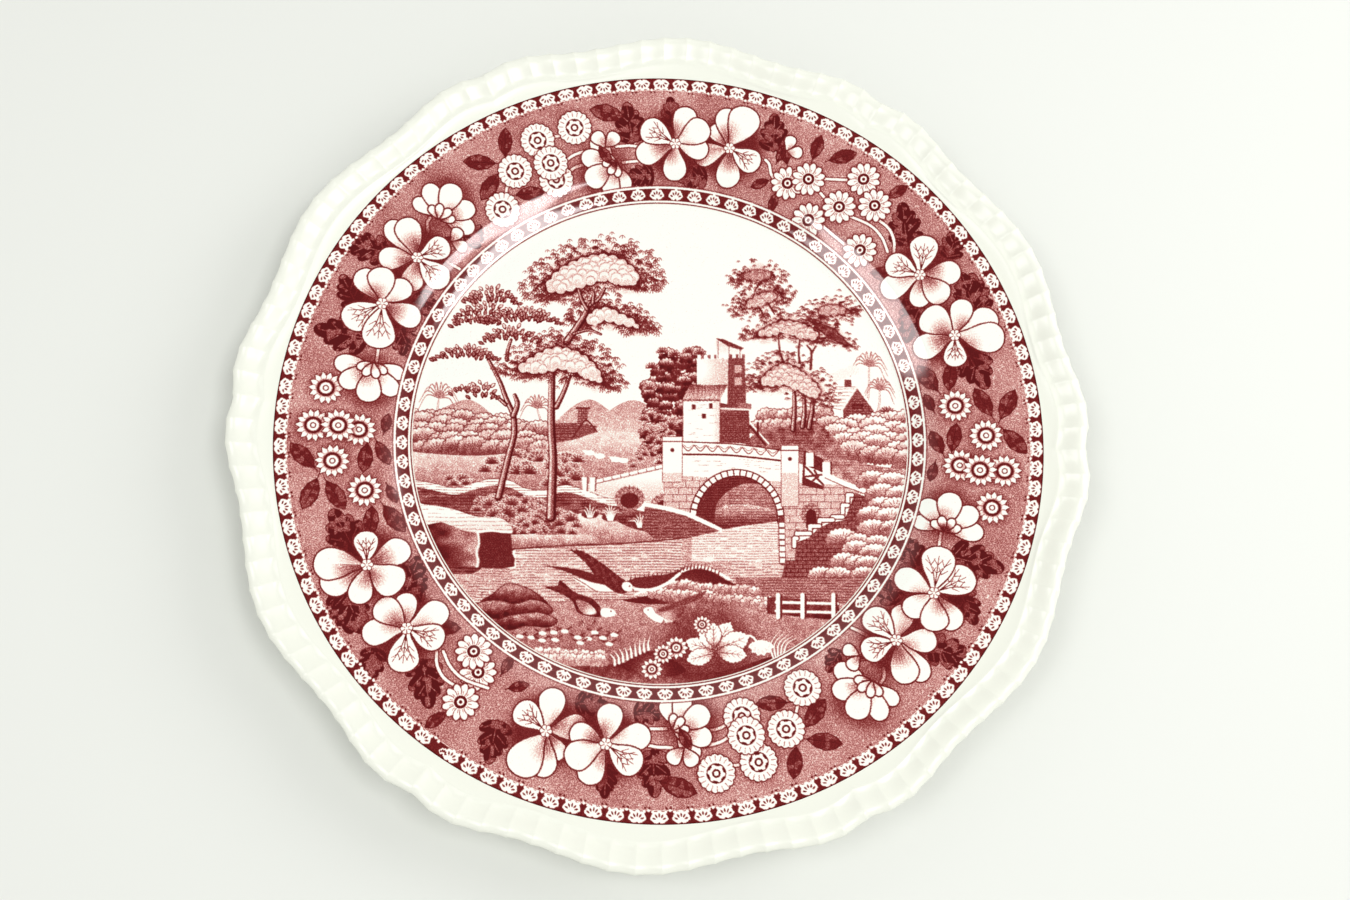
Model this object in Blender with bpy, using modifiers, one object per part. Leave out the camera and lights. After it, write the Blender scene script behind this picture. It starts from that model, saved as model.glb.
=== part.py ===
"""A gadroon-edged earthenware dinner plate with its four fired-on transfer prints.

Frame: metres, +Z up, origin on the table under the plate's centre. The printed picture's top is towards +Y.
"""

import math

import bmesh
import bpy

MM = 0.001

# Driving dimensions, in millimetres.
EDGE_RADIUS = 133.5  # the plate's widest reach, at the crowns of its lobes: a 267 mm (10 1/2 inch) plate
EDGE_HEIGHT = 22.6  # the highest point of the rim above the table
WELL_HEIGHT = 8.0  # the eating surface above the table
WELL_RADIUS = 74.5
FLANGE_RADIUS = 91.0  # where the curved verge turns into the sloping flange
FLANGE_HEIGHT = 13.2
PRINT_RADIUS = 119.5  # outer edge of the printed zone
PRINT_HEIGHT = 18.5
FOOT_RADIUS = 75.0
FOOT_WIDTH = 3.6
FOOT_HEIGHT = 3.2

# The edge: six broad lobes, six brackets with a cusp between them, and short radial flutes.
REPEATS = 6
FLUTES = 108
FIRST_LOBE_DEG = 27.0
HALF_REPEAT_DEG = 180.0 / REPEATS
TROUGH_DEG = 14.5
BRACKET_CROWN_DEG = 25.5
LOBE_DEPTH = 3.2
CUSP_DEPTH = 1.5
FLUTE_DEPTH = 0.9
LOBE_START_RADIUS = 121.0
FLUTE_START_RADIUS = 125.0
FLUTE_END_RADIUS = 132.5

# The prints: thin skins that lie just clear of the body.
SKIN_GAP = 0.3
SKIN_THICKNESS = 0.2
PICTURE_RADIUS = 78.6
INNER_BAND = (79.0, 84.0)
BORDER = (84.4, 115.2)
OUTER_BAND = (115.6, 119.4)

BODY_STEPS = 2 * FLUTES  # one column on each flute's ridge and one in its hollow
SKIN_STEPS = 108

# The top surface as (radius, height), from the centre to the crest of the rim.
TOP_PROFILE = [
    (0.0, WELL_HEIGHT),
    (WELL_RADIUS, WELL_HEIGHT),
    (80.0, 8.6),
    (85.5, 10.9),
    (FLANGE_RADIUS, FLANGE_HEIGHT),
    (PRINT_RADIUS, PRINT_HEIGHT),
    (122.5, 19.0),
    (125.5, 20.4),
    (131.0, EDGE_HEIGHT),
]
# The rolled lip and the underside, from the crest back to the centre: walls of 4 to 5 mm.
UNDER_PROFILE = [
    (133.1, 22.2),
    (EDGE_RADIUS, 20.6),
    (131.8, 18.4),
    (126.0, 15.6),
    (97.0, 9.9),
    (88.0, 7.2),
    (80.0, 4.0),
    (FOOT_RADIUS + 1.2, FOOT_HEIGHT),
    (FOOT_RADIUS, 0.0),
    (FOOT_RADIUS - FOOT_WIDTH, 0.0),
    (FOOT_RADIUS - FOOT_WIDTH - 1.2, FOOT_HEIGHT),
    (0.0, FOOT_HEIGHT),
]


def clear_scene():
    for obj in list(bpy.data.objects):
        bpy.data.objects.remove(obj)


def new_collection(name):
    collection = bpy.data.collections.new(name)
    bpy.context.scene.collection.children.link(collection)
    return collection


def glazed_material(name, colour, roughness):
    material = bpy.data.materials.new(name)
    material.use_nodes = True
    shader = material.node_tree.nodes["Principled BSDF"]
    shader.inputs["Base Color"].default_value = (*colour, 1.0)
    shader.inputs["Roughness"].default_value = roughness
    shader.inputs["Metallic"].default_value = 0.0
    material.diffuse_color = (*colour, 1.0)
    return material


def turned_object(name, profile, steps, collection):
    """A closed (radius, height) profile in millimetres, turned about Z by a Screw modifier."""
    mesh = bpy.data.meshes.new(name)
    points = [(radius * MM, 0.0, height * MM) for radius, height in profile]
    edges = [(i, i + 1) for i in range(len(points) - 1)]
    if profile[0][0] > 0.0:  # a ring's profile is a closed loop
        edges.append((len(points) - 1, 0))
    mesh.from_pydata(points, edges, [])
    obj = bpy.data.objects.new(name, mesh)
    collection.objects.link(obj)
    screw = obj.modifiers.new("turn", "SCREW")
    screw.axis = "Z"
    screw.angle = math.tau
    screw.steps = screw.render_steps = steps
    screw.use_merge_vertices = True
    screw.merge_threshold = 0.00001
    screw.use_smooth_shade = True
    return obj


def apply_modifiers(obj):
    bpy.context.view_layer.update()
    evaluated = obj.evaluated_get(bpy.context.evaluated_depsgraph_get())
    mesh = bpy.data.meshes.new_from_object(evaluated)
    obj.modifiers.clear()
    obj.data = mesh
    mesh.name = obj.name


def height_at(radius):
    """The top surface's height at a radius, in millimetres."""
    for (r0, z0), (r1, z1) in zip(TOP_PROFILE, TOP_PROFILE[1:]):
        if r0 <= radius <= r1:
            return z0 + (z1 - z0) * (radius - r0) / (r1 - r0)
    raise ValueError(f"no top surface at a radius of {radius} mm")


def ease(x):
    """0 to 1 with level ends."""
    x = min(max(x, 0.0), 1.0)
    return x * x * (3.0 - 2.0 * x)


def edge_pull(angle_deg):
    """How far the edge is drawn in from EDGE_RADIUS at an angle: lobes, troughs and cusps."""
    repeat = 360.0 / REPEATS
    from_lobe = abs((angle_deg - FIRST_LOBE_DEG + repeat / 2) % repeat - repeat / 2)
    if from_lobe <= TROUGH_DEG:
        return LOBE_DEPTH * (1.0 - math.cos(math.pi * from_lobe / TROUGH_DEG)) / 2
    if from_lobe <= BRACKET_CROWN_DEG:
        rise = (from_lobe - TROUGH_DEG) / (BRACKET_CROWN_DEG - TROUGH_DEG)
        return LOBE_DEPTH * (1.0 + math.cos(math.pi * rise)) / 2
    fall = (from_lobe - BRACKET_CROWN_DEG) / (HALF_REPEAT_DEG - BRACKET_CROWN_DEG)
    return CUSP_DEPTH * fall**1.6


def shape_edge(mesh):
    """Pulls the turned rim in to its lobed outline and sinks the flutes into its top."""
    for vertex in mesh.vertices:
        x, y, z = (value / MM for value in vertex.co)
        radius = math.hypot(x, y)
        if radius <= LOBE_START_RADIUS:
            continue
        angle = math.degrees(math.atan2(y, x))
        reach = ease((radius - LOBE_START_RADIUS) / (EDGE_RADIUS - LOBE_START_RADIUS))
        drawn = radius - edge_pull(angle) * reach
        on_top = z > height_at(PRINT_RADIUS) + 0.2 and radius >= FLUTE_START_RADIUS
        if on_top and radius <= FLUTE_END_RADIUS:
            z -= FLUTE_DEPTH * (1.0 - math.cos(math.radians(angle) * FLUTES)) / 2
        vertex.co.x = x * drawn / radius * MM
        vertex.co.y = y * drawn / radius * MM
        vertex.co.z = z * MM


def merge_and_face_out(mesh):
    shape = bmesh.new()
    shape.from_mesh(mesh)
    bmesh.ops.remove_doubles(shape, verts=shape.verts, dist=0.00001)
    bmesh.ops.recalc_face_normals(shape, faces=shape.faces)
    shape.to_mesh(mesh)
    shape.free()


def make_body(collection):
    """Well, verge, flange, fluted edge and foot ring are one pressing of clay."""
    body = turned_object("earthenware_body", TOP_PROFILE + UNDER_PROFILE, BODY_STEPS, collection)
    apply_modifiers(body)
    merge_and_face_out(body.data)
    shape_edge(body.data)
    body.data.materials.append(glazed_material("white_glaze", (0.87, 0.87, 0.78), 0.08))
    body.data.shade_smooth()
    body.data.set_sharp_from_angle(angle=math.radians(40))
    return body


def make_skin(name, inner, outer, material, collection):
    """One fired-on print: a thin skin between two radii that follows the top surface."""
    inside = [radius for radius, _ in TOP_PROFILE if inner < radius < outer]
    radii = [inner, *inside, outer]
    under = [(radius, height_at(radius) + SKIN_GAP) for radius in radii]
    over = [(radius, height + SKIN_THICKNESS) for radius, height in under]
    skin = turned_object(name, over + under[::-1], SKIN_STEPS, collection)
    apply_modifiers(skin)
    merge_and_face_out(skin.data)
    skin.data.materials.append(material)
    skin.data.shade_smooth()
    skin.data.set_sharp_from_angle(angle=math.radians(40))
    return skin


def main():
    clear_scene()
    plate = new_collection("dinner_plate")
    base = bpy.data.objects.new("plate_origin", None)
    plate.objects.link(base)
    crimson = glazed_material("crimson_print", (0.42, 0.09, 0.10), 0.08)
    pink = glazed_material("stippled_print", (0.55, 0.24, 0.23), 0.08)
    parts = [
        make_body(plate),
        make_skin("center_picture_transfer", 0.0, PICTURE_RADIUS, pink, plate),
        make_skin("inner_bead_transfer", *INNER_BAND, crimson, plate),
        make_skin("flower_border_transfer", *BORDER, pink, plate),
        make_skin("outer_bead_transfer", *OUTER_BAND, crimson, plate),
    ]
    for part in parts:
        part.parent = base


main()
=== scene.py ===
"""A crimson-printed earthenware dinner plate, seen from above on a pale table.

Everything is in millimetres on the plate until it becomes a mesh: +X is the picture's right, +Y its
top and +Z up. The prints are drawn as ink densities on one square sheet, from 0 (bare glaze) to 1
(darkest ink), and each print's dense surface takes its ink from the sheet.
"""

import math

import bpy
import numpy as np
from mathutils import Matrix, Vector


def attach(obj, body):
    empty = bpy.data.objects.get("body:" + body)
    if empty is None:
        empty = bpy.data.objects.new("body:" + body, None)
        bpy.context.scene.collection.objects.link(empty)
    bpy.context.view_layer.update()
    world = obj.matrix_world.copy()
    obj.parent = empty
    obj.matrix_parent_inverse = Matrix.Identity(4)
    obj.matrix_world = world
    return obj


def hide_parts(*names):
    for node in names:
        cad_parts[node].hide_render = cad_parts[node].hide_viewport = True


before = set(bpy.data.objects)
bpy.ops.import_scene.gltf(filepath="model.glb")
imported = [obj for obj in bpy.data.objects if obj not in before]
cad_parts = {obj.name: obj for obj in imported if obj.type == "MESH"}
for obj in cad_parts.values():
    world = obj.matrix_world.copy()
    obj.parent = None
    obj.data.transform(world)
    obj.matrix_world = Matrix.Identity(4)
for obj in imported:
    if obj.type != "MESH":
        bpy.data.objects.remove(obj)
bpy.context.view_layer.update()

MM = 0.001
rng = np.random.default_rng(11)

# The plate's shape.
EDGE_RADIUS = 133.5
EDGE_HEIGHT = 20.9  # where the rolled lip reaches furthest out
CREST_HEIGHT = 22.4
WELL_HEIGHT = 8.0
VERGE_START = 76.0
VERGE_END = 91.0
VERGE_HEIGHT = 13.2
FLANGE_SLOPE = 0.186
PRINT_RADIUS = 119.5
FLUTES = 108
RIDGE_RADIUS = 124.2
RIDGE_RISE = 0.6
FLUTE_DEPTH = 0.5
LIP_WIDTH = 2.0
FOOT_RADIUS = 75.0

# The edge's outline: six broad lobes with a cusped bracket between each two, in degrees and millimetres.
FIRST_LOBE_DEG = 27
HALF_REPEAT_DEG = 30
TROUGH_DEG = 14.5
BRACKET_CROWN_DEG = 25.5
LOBE_DEPTH = 3.2
CUSP_DEPTH = 1.5
FLUTE_NIP = 0.35  # how far a flute's hollow draws the outline in

# The prints.
PICTURE_RADIUS = 78.7
BEAD_RING = (78.9, 84.1)
BORDER_RING = (84.1, 115.4)
EDGE_RING = (115.4, 119.5)
REPEAT = 187.3  # degrees from one repeat of the border to the next
EDGE_BEADS = 115
INNER_BEADS = 82
PRINT_LIFT = 0.03
VERTEX_SPACING = 0.2

# The sheet that the prints are drawn on.
SHEET_HALF = 121.0
SHEET_STEP = 0.125
AXIS = np.arange(-SHEET_HALF, SHEET_HALF + SHEET_STEP / 2, SHEET_STEP)
sheet = np.zeros((len(AXIS), len(AXIS)), np.float32)


# ---- drawing tools ----


def ease(x):
    """0 to 1 with level ends."""
    x = np.clip(x, 0.0, 1.0)
    return x * x * (3.0 - 2.0 * x)


def polar(angle_deg, radius):
    angle = math.radians(angle_deg)
    return np.array([radius * math.cos(angle), radius * math.sin(angle)])


def window(points, margin):
    """The part of the sheet around some points: its rows, its columns, and their x and y."""
    low = np.floor((np.min(points, axis=0) - margin + SHEET_HALF) / SHEET_STEP).astype(int)
    high = np.ceil((np.max(points, axis=0) + margin + SHEET_HALF) / SHEET_STEP).astype(int) + 1
    low = np.clip(low, 0, len(AXIS))
    high = np.clip(high, 0, len(AXIS))
    cols = slice(low[0], high[0])
    rows = slice(low[1], high[1])
    return rows, cols, AXIS[None, cols], AXIS[rows, None]


def curve(points, closed=False, steps=5):
    """A smooth line through points."""
    p = np.asarray(points, float)
    if closed:
        p = np.vstack([p[-1:], p, p[:2]])
    else:
        p = np.vstack([2 * p[:1] - p[1:2], p, 2 * p[-1:] - p[-2:-1]])
    a, b, c, d = p[:-3], p[1:-2], p[2:-1], p[3:]
    t = np.linspace(0, 1, steps, endpoint=False)[:, None, None]
    line = 0.5 * (2 * b + (c - a) * t + (2 * a - 5 * b + 4 * c - d) * t**2 + (3 * b - a - 3 * c + d) * t**3)
    line = line.transpose(1, 0, 2).reshape(-1, 2)
    return line if closed else np.vstack([line, p[-2:-1]])


def place(points, at, turn=0.0, size=1.0):
    """A shape turned by degrees, scaled, and moved."""
    p = np.asarray(points, float) * size
    c, s = math.cos(math.radians(turn)), math.sin(math.radians(turn))
    return np.column_stack([p[:, 0] * c - p[:, 1] * s, p[:, 0] * s + p[:, 1] * c]) + at


def ellipse(at, width, height, turn=0.0, count=28):
    t = np.linspace(0, math.tau, count, endpoint=False)
    return place(np.column_stack([width / 2 * np.cos(t), height / 2 * np.sin(t)]), at, turn)


def scalloped(outline, bump, depth):
    """A closed outline with round bumps all along it."""
    p = np.asarray(outline, float)
    ends = np.roll(p, -1, axis=0)
    area = np.sum(p[:, 0] * ends[:, 1] - ends[:, 0] * p[:, 1])
    steps = np.hypot(*(ends - p).T)
    along = np.concatenate([[0], np.cumsum(steps)])
    count = max(3, round(along[-1] / bump)) * 6
    s = np.linspace(0, along[-1], count, endpoint=False)
    ring = np.vstack([p, p[:1]])
    x, y = np.interp(s, along, ring[:, 0]), np.interp(s, along, ring[:, 1])
    dx, dy = np.roll(x, -1) - np.roll(x, 1), np.roll(y, -1) - np.roll(y, 1)
    length = np.maximum(np.hypot(dx, dy), 1e-9) * np.sign(area)
    rise = depth * np.abs(np.sin(np.arange(count) * math.pi / 6))
    return np.column_stack([x + rise * dy / length, y - rise * dx / length])


def covered(points, rows, cols):
    """Which of a window's points are inside a closed outline."""
    x, y = AXIS[cols], AXIS[rows]
    hit = np.zeros((len(y), len(x)), bool)
    for (x0, y0), (x1, y1) in zip(points, np.roll(points, -1, axis=0)):
        first, last = np.searchsorted(y, sorted((y0, y1)))
        if first == last:
            continue
        crossing = x0 + (y[first:last] - y0) * (x1 - x0) / (y1 - y0)
        hit[first:last] ^= x[None, :] < crossing[:, None]
    return hit


def fill(points, ink):
    """Covers an outline with ink: a density, or a function of x and y that gives one."""
    points = np.asarray(points, float)
    rows, cols, x, y = window(points, 0)
    hit = covered(points, rows, cols)
    value = ink(x, y) if callable(ink) else ink
    sheet[rows, cols] = np.where(hit, value, sheet[rows, cols])


def stroke(points, width, ink, end_width=None):
    """Draws a line through points. Its width may taper evenly to end_width."""
    points = np.asarray(points, float)
    widths = np.linspace(width, width if end_width is None else end_width, len(points))
    for start, end, w0, w1 in zip(points, points[1:], widths, widths[1:]):
        rows, cols, x, y = window([start, end], max(w0, w1) / 2 + SHEET_STEP)
        dx, dy = end - start
        along = np.clip(((x - start[0]) * dx + (y - start[1]) * dy) / max(dx * dx + dy * dy, 1e-9), 0, 1)
        away = np.hypot(x - start[0] - along * dx, y - start[1] - along * dy) - (w0 + (w1 - w0) * along) / 2
        part = sheet[rows, cols]
        part += (ink - part) * np.clip(0.5 - away / SHEET_STEP, 0, 1)


def rect(x0, y0, x1, y1):
    return [(x0, y0), (x0, y1), (x1, y1), (x1, y0)]


def blob(points, ink):
    """Fills a smooth outline through points."""
    fill(curve(points, closed=True), ink)


def sweep(points, width, ink, end_width=None):
    """Draws a smooth line through points."""
    stroke(curve(points), width, ink, end_width)


def loop(points, width, ink):
    stroke(np.vstack([points, points[:1]]), width, ink)


def disc(at, radius, ink):
    stroke([at, np.asarray(at) + 1e-4], 2 * radius, ink)


def ring(at, radius, width, ink):
    loop(ellipse(at, 2 * radius, 2 * radius), width, ink)


def hash_noise(x, y, seed=0.0):
    value = np.sin(x * 12.9898 + y * 78.233 + seed) * 43758.5453
    return value - np.floor(value)


def cloudy(x, y, size, seed=0.0):
    """Smooth noise from 0 to 1 with features of about one size."""
    u, v = x / size, y / size
    i, j = np.floor(u), np.floor(v)
    s, t = ease(u - i), ease(v - j)
    low = hash_noise(i, j, seed) * (1 - s) + hash_noise(i + 1, j, seed) * s
    high = hash_noise(i, j + 1, seed) * (1 - s) + hash_noise(i + 1, j + 1, seed) * s
    return low * (1 - t) + high * t


def from_centre(at, near, far, reach, start=0.0):
    """Ink that goes from one density at a point to another at some distance."""

    def ink(x, y):
        away = np.hypot(x - at[0], y - at[1])
        return near + (far - near) * ease((away - start) / (reach - start))

    return ink


def downhill(top_y, low_y, top_ink, low_ink, patchy=0.0):
    """Ink that changes from a height down to a lower one, with some unevenness."""

    def ink(x, y):
        base = top_ink + (low_ink - top_ink) * ease((top_y - y) / (top_y - low_y)) + 0.0 * x
        return np.clip(base + patchy * (cloudy(x, y, 1.3, 5.0) - 0.5), 0, 1)

    return ink


def hatched(ink_below, period, share, strength):
    """Broken level lines over another ink."""

    def ink(x, y):
        waver = 0.35 * cloudy(x, y, 6.0, 2.0)
        in_line = np.cos((y + waver) * math.tau / period) > 1 - 2 * share
        unbroken = cloudy(x, y * 4, 2.6, 9.0) > 0.28
        base = ink_below(x, y) if callable(ink_below) else ink_below
        return np.clip(base + strength * (in_line & unbroken), 0, 1)

    return ink


def bricks(base, line, height, length):
    """Courses of bricks or stones."""

    def ink(x, y):
        course = np.floor(y / height)
        seam_y = np.abs(y / height - course - 0.5) > 0.5 - 0.11 / height
        u = x / length + 0.5 * (course % 2) + 0.23 * hash_noise(course, course)
        seam_x = np.abs(u - np.floor(u) - 0.5) > 0.5 - 0.11 / length
        return np.where(seam_x | seam_y, line, base + 0.06 * (cloudy(x, y, 1.1) - 0.5))

    return ink


# ---- plants ----


def bush(at, width, height, light=0.12, dark=0.75, bump=1.5):
    """A rounded clump, pale along its top and dark underneath."""
    t = np.linspace(0, math.pi, 14)
    dome = np.column_stack([width / 2 * np.cos(t), height * np.sin(t) ** 0.8]) + at
    base = np.array([[at[0] - width / 2, at[1] - 0.35 * height],
                     [at[0] + width / 2, at[1] - 0.35 * height]])
    outline = scalloped(np.vstack([dome, base]), bump, 0.32 * bump)
    fill(outline, downhill(at[1] + height, at[1] - 0.1 * height, light, dark, 0.25))
    for a in np.linspace(0.25, math.pi - 0.25, max(4, int(width))):
        reach = 0.55 + 0.3 * rng.random()
        tip = np.array([width / 2 * math.cos(a), height * math.sin(a)])
        stroke([at + tip * reach * 0.6, at + tip * reach], 0.2, min(dark + 0.12, 0.97))
    stroke(outline[: int(len(outline) * 0.62)], 0.24, min(dark + 0.15, 0.85))


def bush_rows(rows, width, height, light, dark):
    """Overlapping rows of bushes, back to front. A row is (first x, last x, first y, last y)."""
    for x0, x1, y0, y1 in rows:
        count = max(1, round(abs(x1 - x0) / (0.62 * width)))
        for i in range(count + 1):
            t = i / count
            jitter = rng.uniform(-0.15, 0.15, 2) * (width, height)
            at = np.array([x0 + (x1 - x0) * t, y0 + (y1 - y0) * t]) + jitter
            size = rng.uniform(0.85, 1.15)
            bush(at, width * size, height * size, light, dark)


def tuft(at, radius, dark=0.92, pale=0.06):
    """A spiky clump: dark inside, with pale pointed tips."""
    spikes = 13
    t = np.linspace(-0.25, math.pi + 0.25, 2 * spikes + 1)
    r = np.where(np.arange(len(t)) % 2, radius, 0.78 * radius) * rng.uniform(0.9, 1.1, len(t))
    crown = np.column_stack([r * np.cos(t), r * np.sin(t) * 0.85])
    fill(crown * 1.08 + at, pale)
    fill(crown * 0.98 + at, from_centre(np.array(at) - (0, 0.2 * radius), dark, 0.6, radius))
    for angle in np.linspace(0.3, 2.84, 6):
        tip = np.array([math.cos(angle), 0.85 * math.sin(angle)]) * radius
        stroke([at + tip * 0.55, at + tip * 0.9], 0.18, pale)


def tufts(box, count, radius):
    """Clumps scattered over a box, the lower ones in front."""
    x0, x1, y0, y1 = box
    places = rng.uniform((x0, y0), (x1, y1), (count, 2))
    for at in places[np.argsort(-places[:, 1])]:
        tuft(at, radius * rng.uniform(0.75, 1.2))


def feather(at, size, ink):
    """A tiny hooked leaf mark."""
    lean = rng.uniform(-0.35, 0.35)
    mark = [(-1.0, -0.55), (-0.55, 0.1), (0, 0.35), (0.55, 0.1), (1.0, -0.5)]
    stroke(place(mark, at, math.degrees(lean), size), 0.2, ink)
    stroke(place([(0, 0.35), (0.1, -0.4), (-0.1, -0.8)], at, math.degrees(lean), size), 0.18, ink)


def distance_to(points, x, y):
    """How far each point of a window is from a line through points."""
    away = np.full(np.broadcast_shapes(x.shape, y.shape), 1e9)
    for (x0, y0), (x1, y1) in zip(points, points[1:]):
        dx, dy = x1 - x0, y1 - y0
        along = np.clip(((x - x0) * dx + (y - y0) * dy) / max(dx * dx + dy * dy, 1e-9), 0, 1)
        away = np.minimum(away, np.hypot(x - x0 - along * dx, y - y0 - along * dy))
    return away


def canopy(cloud, reach, marks, pale=0.13, size=0.75, rim_ink=0.95):
    """A spreading tree top: a pale cloud of leaves with a dark rim and a feathery fringe around it."""
    rim = curve(cloud, closed=True, steps=4)
    middle = rim.mean(axis=0)
    closed_rim = np.vstack([rim, rim[:1]])
    rows, cols, x, y = window(rim, reach)
    away = distance_to(closed_rim, x, y)
    patch = 0.55 + 0.9 * cloudy(x, y, 1.4, 3.0)
    near = rim_ink * np.exp(-((away / (0.12 * reach)) ** 2))
    part = sheet[rows, cols]
    np.maximum(part, near + 0.2 * patch * np.exp(-((away / (0.5 * reach)) ** 2)), out=part)
    picks = rng.integers(0, len(rim), marks)
    outward = rim[picks] - middle
    outward /= np.maximum(np.hypot(*outward.T), 1e-9)[:, None]
    outward *= (1.1, 0.82)
    spread = rng.random(marks) ** 0.8
    spots = rim[picks] + outward * (spread * reach)[:, None] + rng.normal(0, 0.1 * reach, (marks, 2))
    for at, far in zip(spots, spread):
        feather(at, size * rng.uniform(0.8, 1.2), 1.0 - 0.25 * far)
    bump = 1.25 * size
    edge = scalloped(rim, 3.2 * bump, 0.75 * bump)
    fill(edge, lambda x, y: pale + 0.12 * cloudy(x, y, 1.0))
    loop(edge, 0.3, rim_ink)
    inside = covered(rim, rows, cols) & (away > 0.9 * bump)
    left, right = rim[:, 0].min(), rim[:, 0].max()
    for row, level in enumerate(np.arange(rim[:, 1].max(), rim[:, 1].min(), -1.5 * bump)):
        for across in np.arange(left + (row % 2) * 1.4 * bump, right, 2.8 * bump):
            at = np.array((across, level)) + rng.uniform(-0.8, 0.8, 2) * bump
            at = np.clip(at, rim.min(axis=0), rim.max(axis=0))
            i = int((at[0] - x.min()) / SHEET_STEP)
            j = int((at[1] - y.min()) / SHEET_STEP)
            if inside[j, i]:
                radius = bump * rng.uniform(1.3, 2.0)
                disc(at, radius, pale + 0.24)
                disc(at - (0, 0.28), radius - 0.16, pale - 0.03)
                disc(at - (0, 0.7 * radius), 0.62 * radius, pale + 0.08)


def trunk(points, width, end_width):
    """A tree trunk that is dark on its right side and pale on its left."""
    line = curve(points)
    stroke(line, width + 0.5, 1.0, end_width + 0.35)
    stroke(line - (0.1 * width, 0), 0.7 * width, 0.6, 0.7 * end_width)
    stroke(line - (0.25 * width, 0), 0.32 * width, 0.22, 0.3 * end_width)


LEAF = [(0, 0), (0.25, 0.2), (0.55, 0.27), (0.82, 0.18), (1, 0), (0.82, -0.18), (0.55, -0.27), (0.25, -0.2)]


def almond(at, turn, length, ink=0.85, heart=0.35):
    """A small leaf with a lighter middle."""
    fill(place(LEAF, at, turn, length), ink)
    fill(place(LEAF, at + polar(turn, 0.27 * length), turn, 0.6 * length), heart)


def leaf_spray(x0, x1, y0, y1, rows, length):
    """A bough of almond leaves, packed in rows that fan out from underneath."""
    middle = (x0 + x1) / 2
    for row in reversed(range(rows)):
        t = row / max(rows - 1, 1)
        half = (x1 - x0) / 2 * (1 - 0.5 * t)
        count = max(3, round(2 * half / (0.62 * length)))
        for i in range(count + 1):
            s = -1 + 2 * i / count
            at = np.array([middle + half * s, y0 + (y1 - y0) * t * 0.8 - 0.8 * s * s])
            turn = 90 - 62 * s + rng.uniform(-16, 16)
            ink = 0.97 - 0.15 * t
            almond(at + rng.normal(0, 0.3, 2), turn, length * rng.uniform(0.95, 1.2), ink,
                   ink - 0.4 - 0.25 * t)


def palm(root, crown, frond):
    bole = curve([root, (np.array(root) + crown) / 2 + (0.6, 0), crown])
    stroke(bole, 0.9, 0.5, 0.5)
    stroke(bole, 0.45, 0.05, 0.2)
    for angle in range(-25, 206, 21):
        out = polar(angle, frond)
        tip = crown + out * 1.1 + (0, -0.55 * frond)
        sweep([crown, crown + out * 0.65 + (0, 0.2 * frond), tip], 0.5, 0.5, 0.2)


def grass(root, blades, height, spread, ink=0.0):
    for i in range(blades):
        s = (i - (blades - 1) / 2) / max(blades, 1)
        tip = np.array(root) + (spread * s * 1.7, height * (1 - 1.3 * abs(s)))
        bend = np.array(root) + (spread * s * 0.8, height * (0.66 - 0.5 * abs(s)))
        sweep([np.array(root) + (spread * s * 0.3, 0), bend, tip], 0.38, ink, 0.14)


# ---- the picture in the well ----


def paint_far_ground():
    for hill in (
        [(-80, 8), (-73, 10.3), (-66, 13.8), (-61, 15), (-56, 12.2), (-50, 6), (-50, -2), (-80, -2)],
        [(-37, 5), (-33, 8.4), (-27, 13.5), (-22, 15), (-17, 12), (-12, 8), (-8, -2), (-37, -2)],
        [(-24, 6), (-17, 11), (-12, 14), (-8, 14.8), (-3, 12.5), (3, 8), (10, 3), (10, -6), (-24, -6)],
    ):
        blob(hill, downhill(15, 2, 0.36, 0.24, 0.12))
    palm((-74.4, -1.5), np.array((-70.6, 15.6)), 6)
    palm((-36.9, -1.5), np.array((-39.4, 12.3)), 5)
    bush_rows(
        [(-80, -50, 8.3, 7.0), (-81, -46, 5.8, 4.4), (-82, -38, 3.2, 3.6), (-82, -38, 0.6, 0.2),
         (-82, -37, -1.9, -2.2)],
        9.0, 4.2, 0.16, 0.68,
    )  # fmt: skip
    paint_cottage()
    meadow = [(-36, 0.5), (-30, 1.0), (-20, 4.4), (-11, 4.6), (-3, 2.6), (4, -1), (4, -14), (-30, -14),
              (-36, -6)]
    blob(meadow, downhill(4.5, -9, 0.18, 0.42, 0.12))
    for at in ((-22.6, -2.4), (-19.3, -3.5), (-14.2, -4.6), (-11.9, -4.9)):
        fill(ellipse(at, 3.2, 1.8), 0.0)
        fill(ellipse(np.array(at) + (-1.5, 0.5), 1.3, 1.0), 0.0)
        stroke([np.array(at) + (-0.7, -0.8), np.array(at) + (-0.7, -1.6)], 0.3, 0.3)
        stroke([np.array(at) + (0.8, -0.8), np.array(at) + (0.8, -1.6)], 0.3, 0.3)
    field = [(-82, -1.6), (-70, -2.8), (-58, -3.2), (-46, -2.4), (-36, -3), (-36, -15), (-60, -15),
             (-82, -12)]
    fill(field, downhill(-2, -13, 0.2, 0.46, 0.14))
    sweep(field[:5], 0.22, 0.75)


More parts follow.
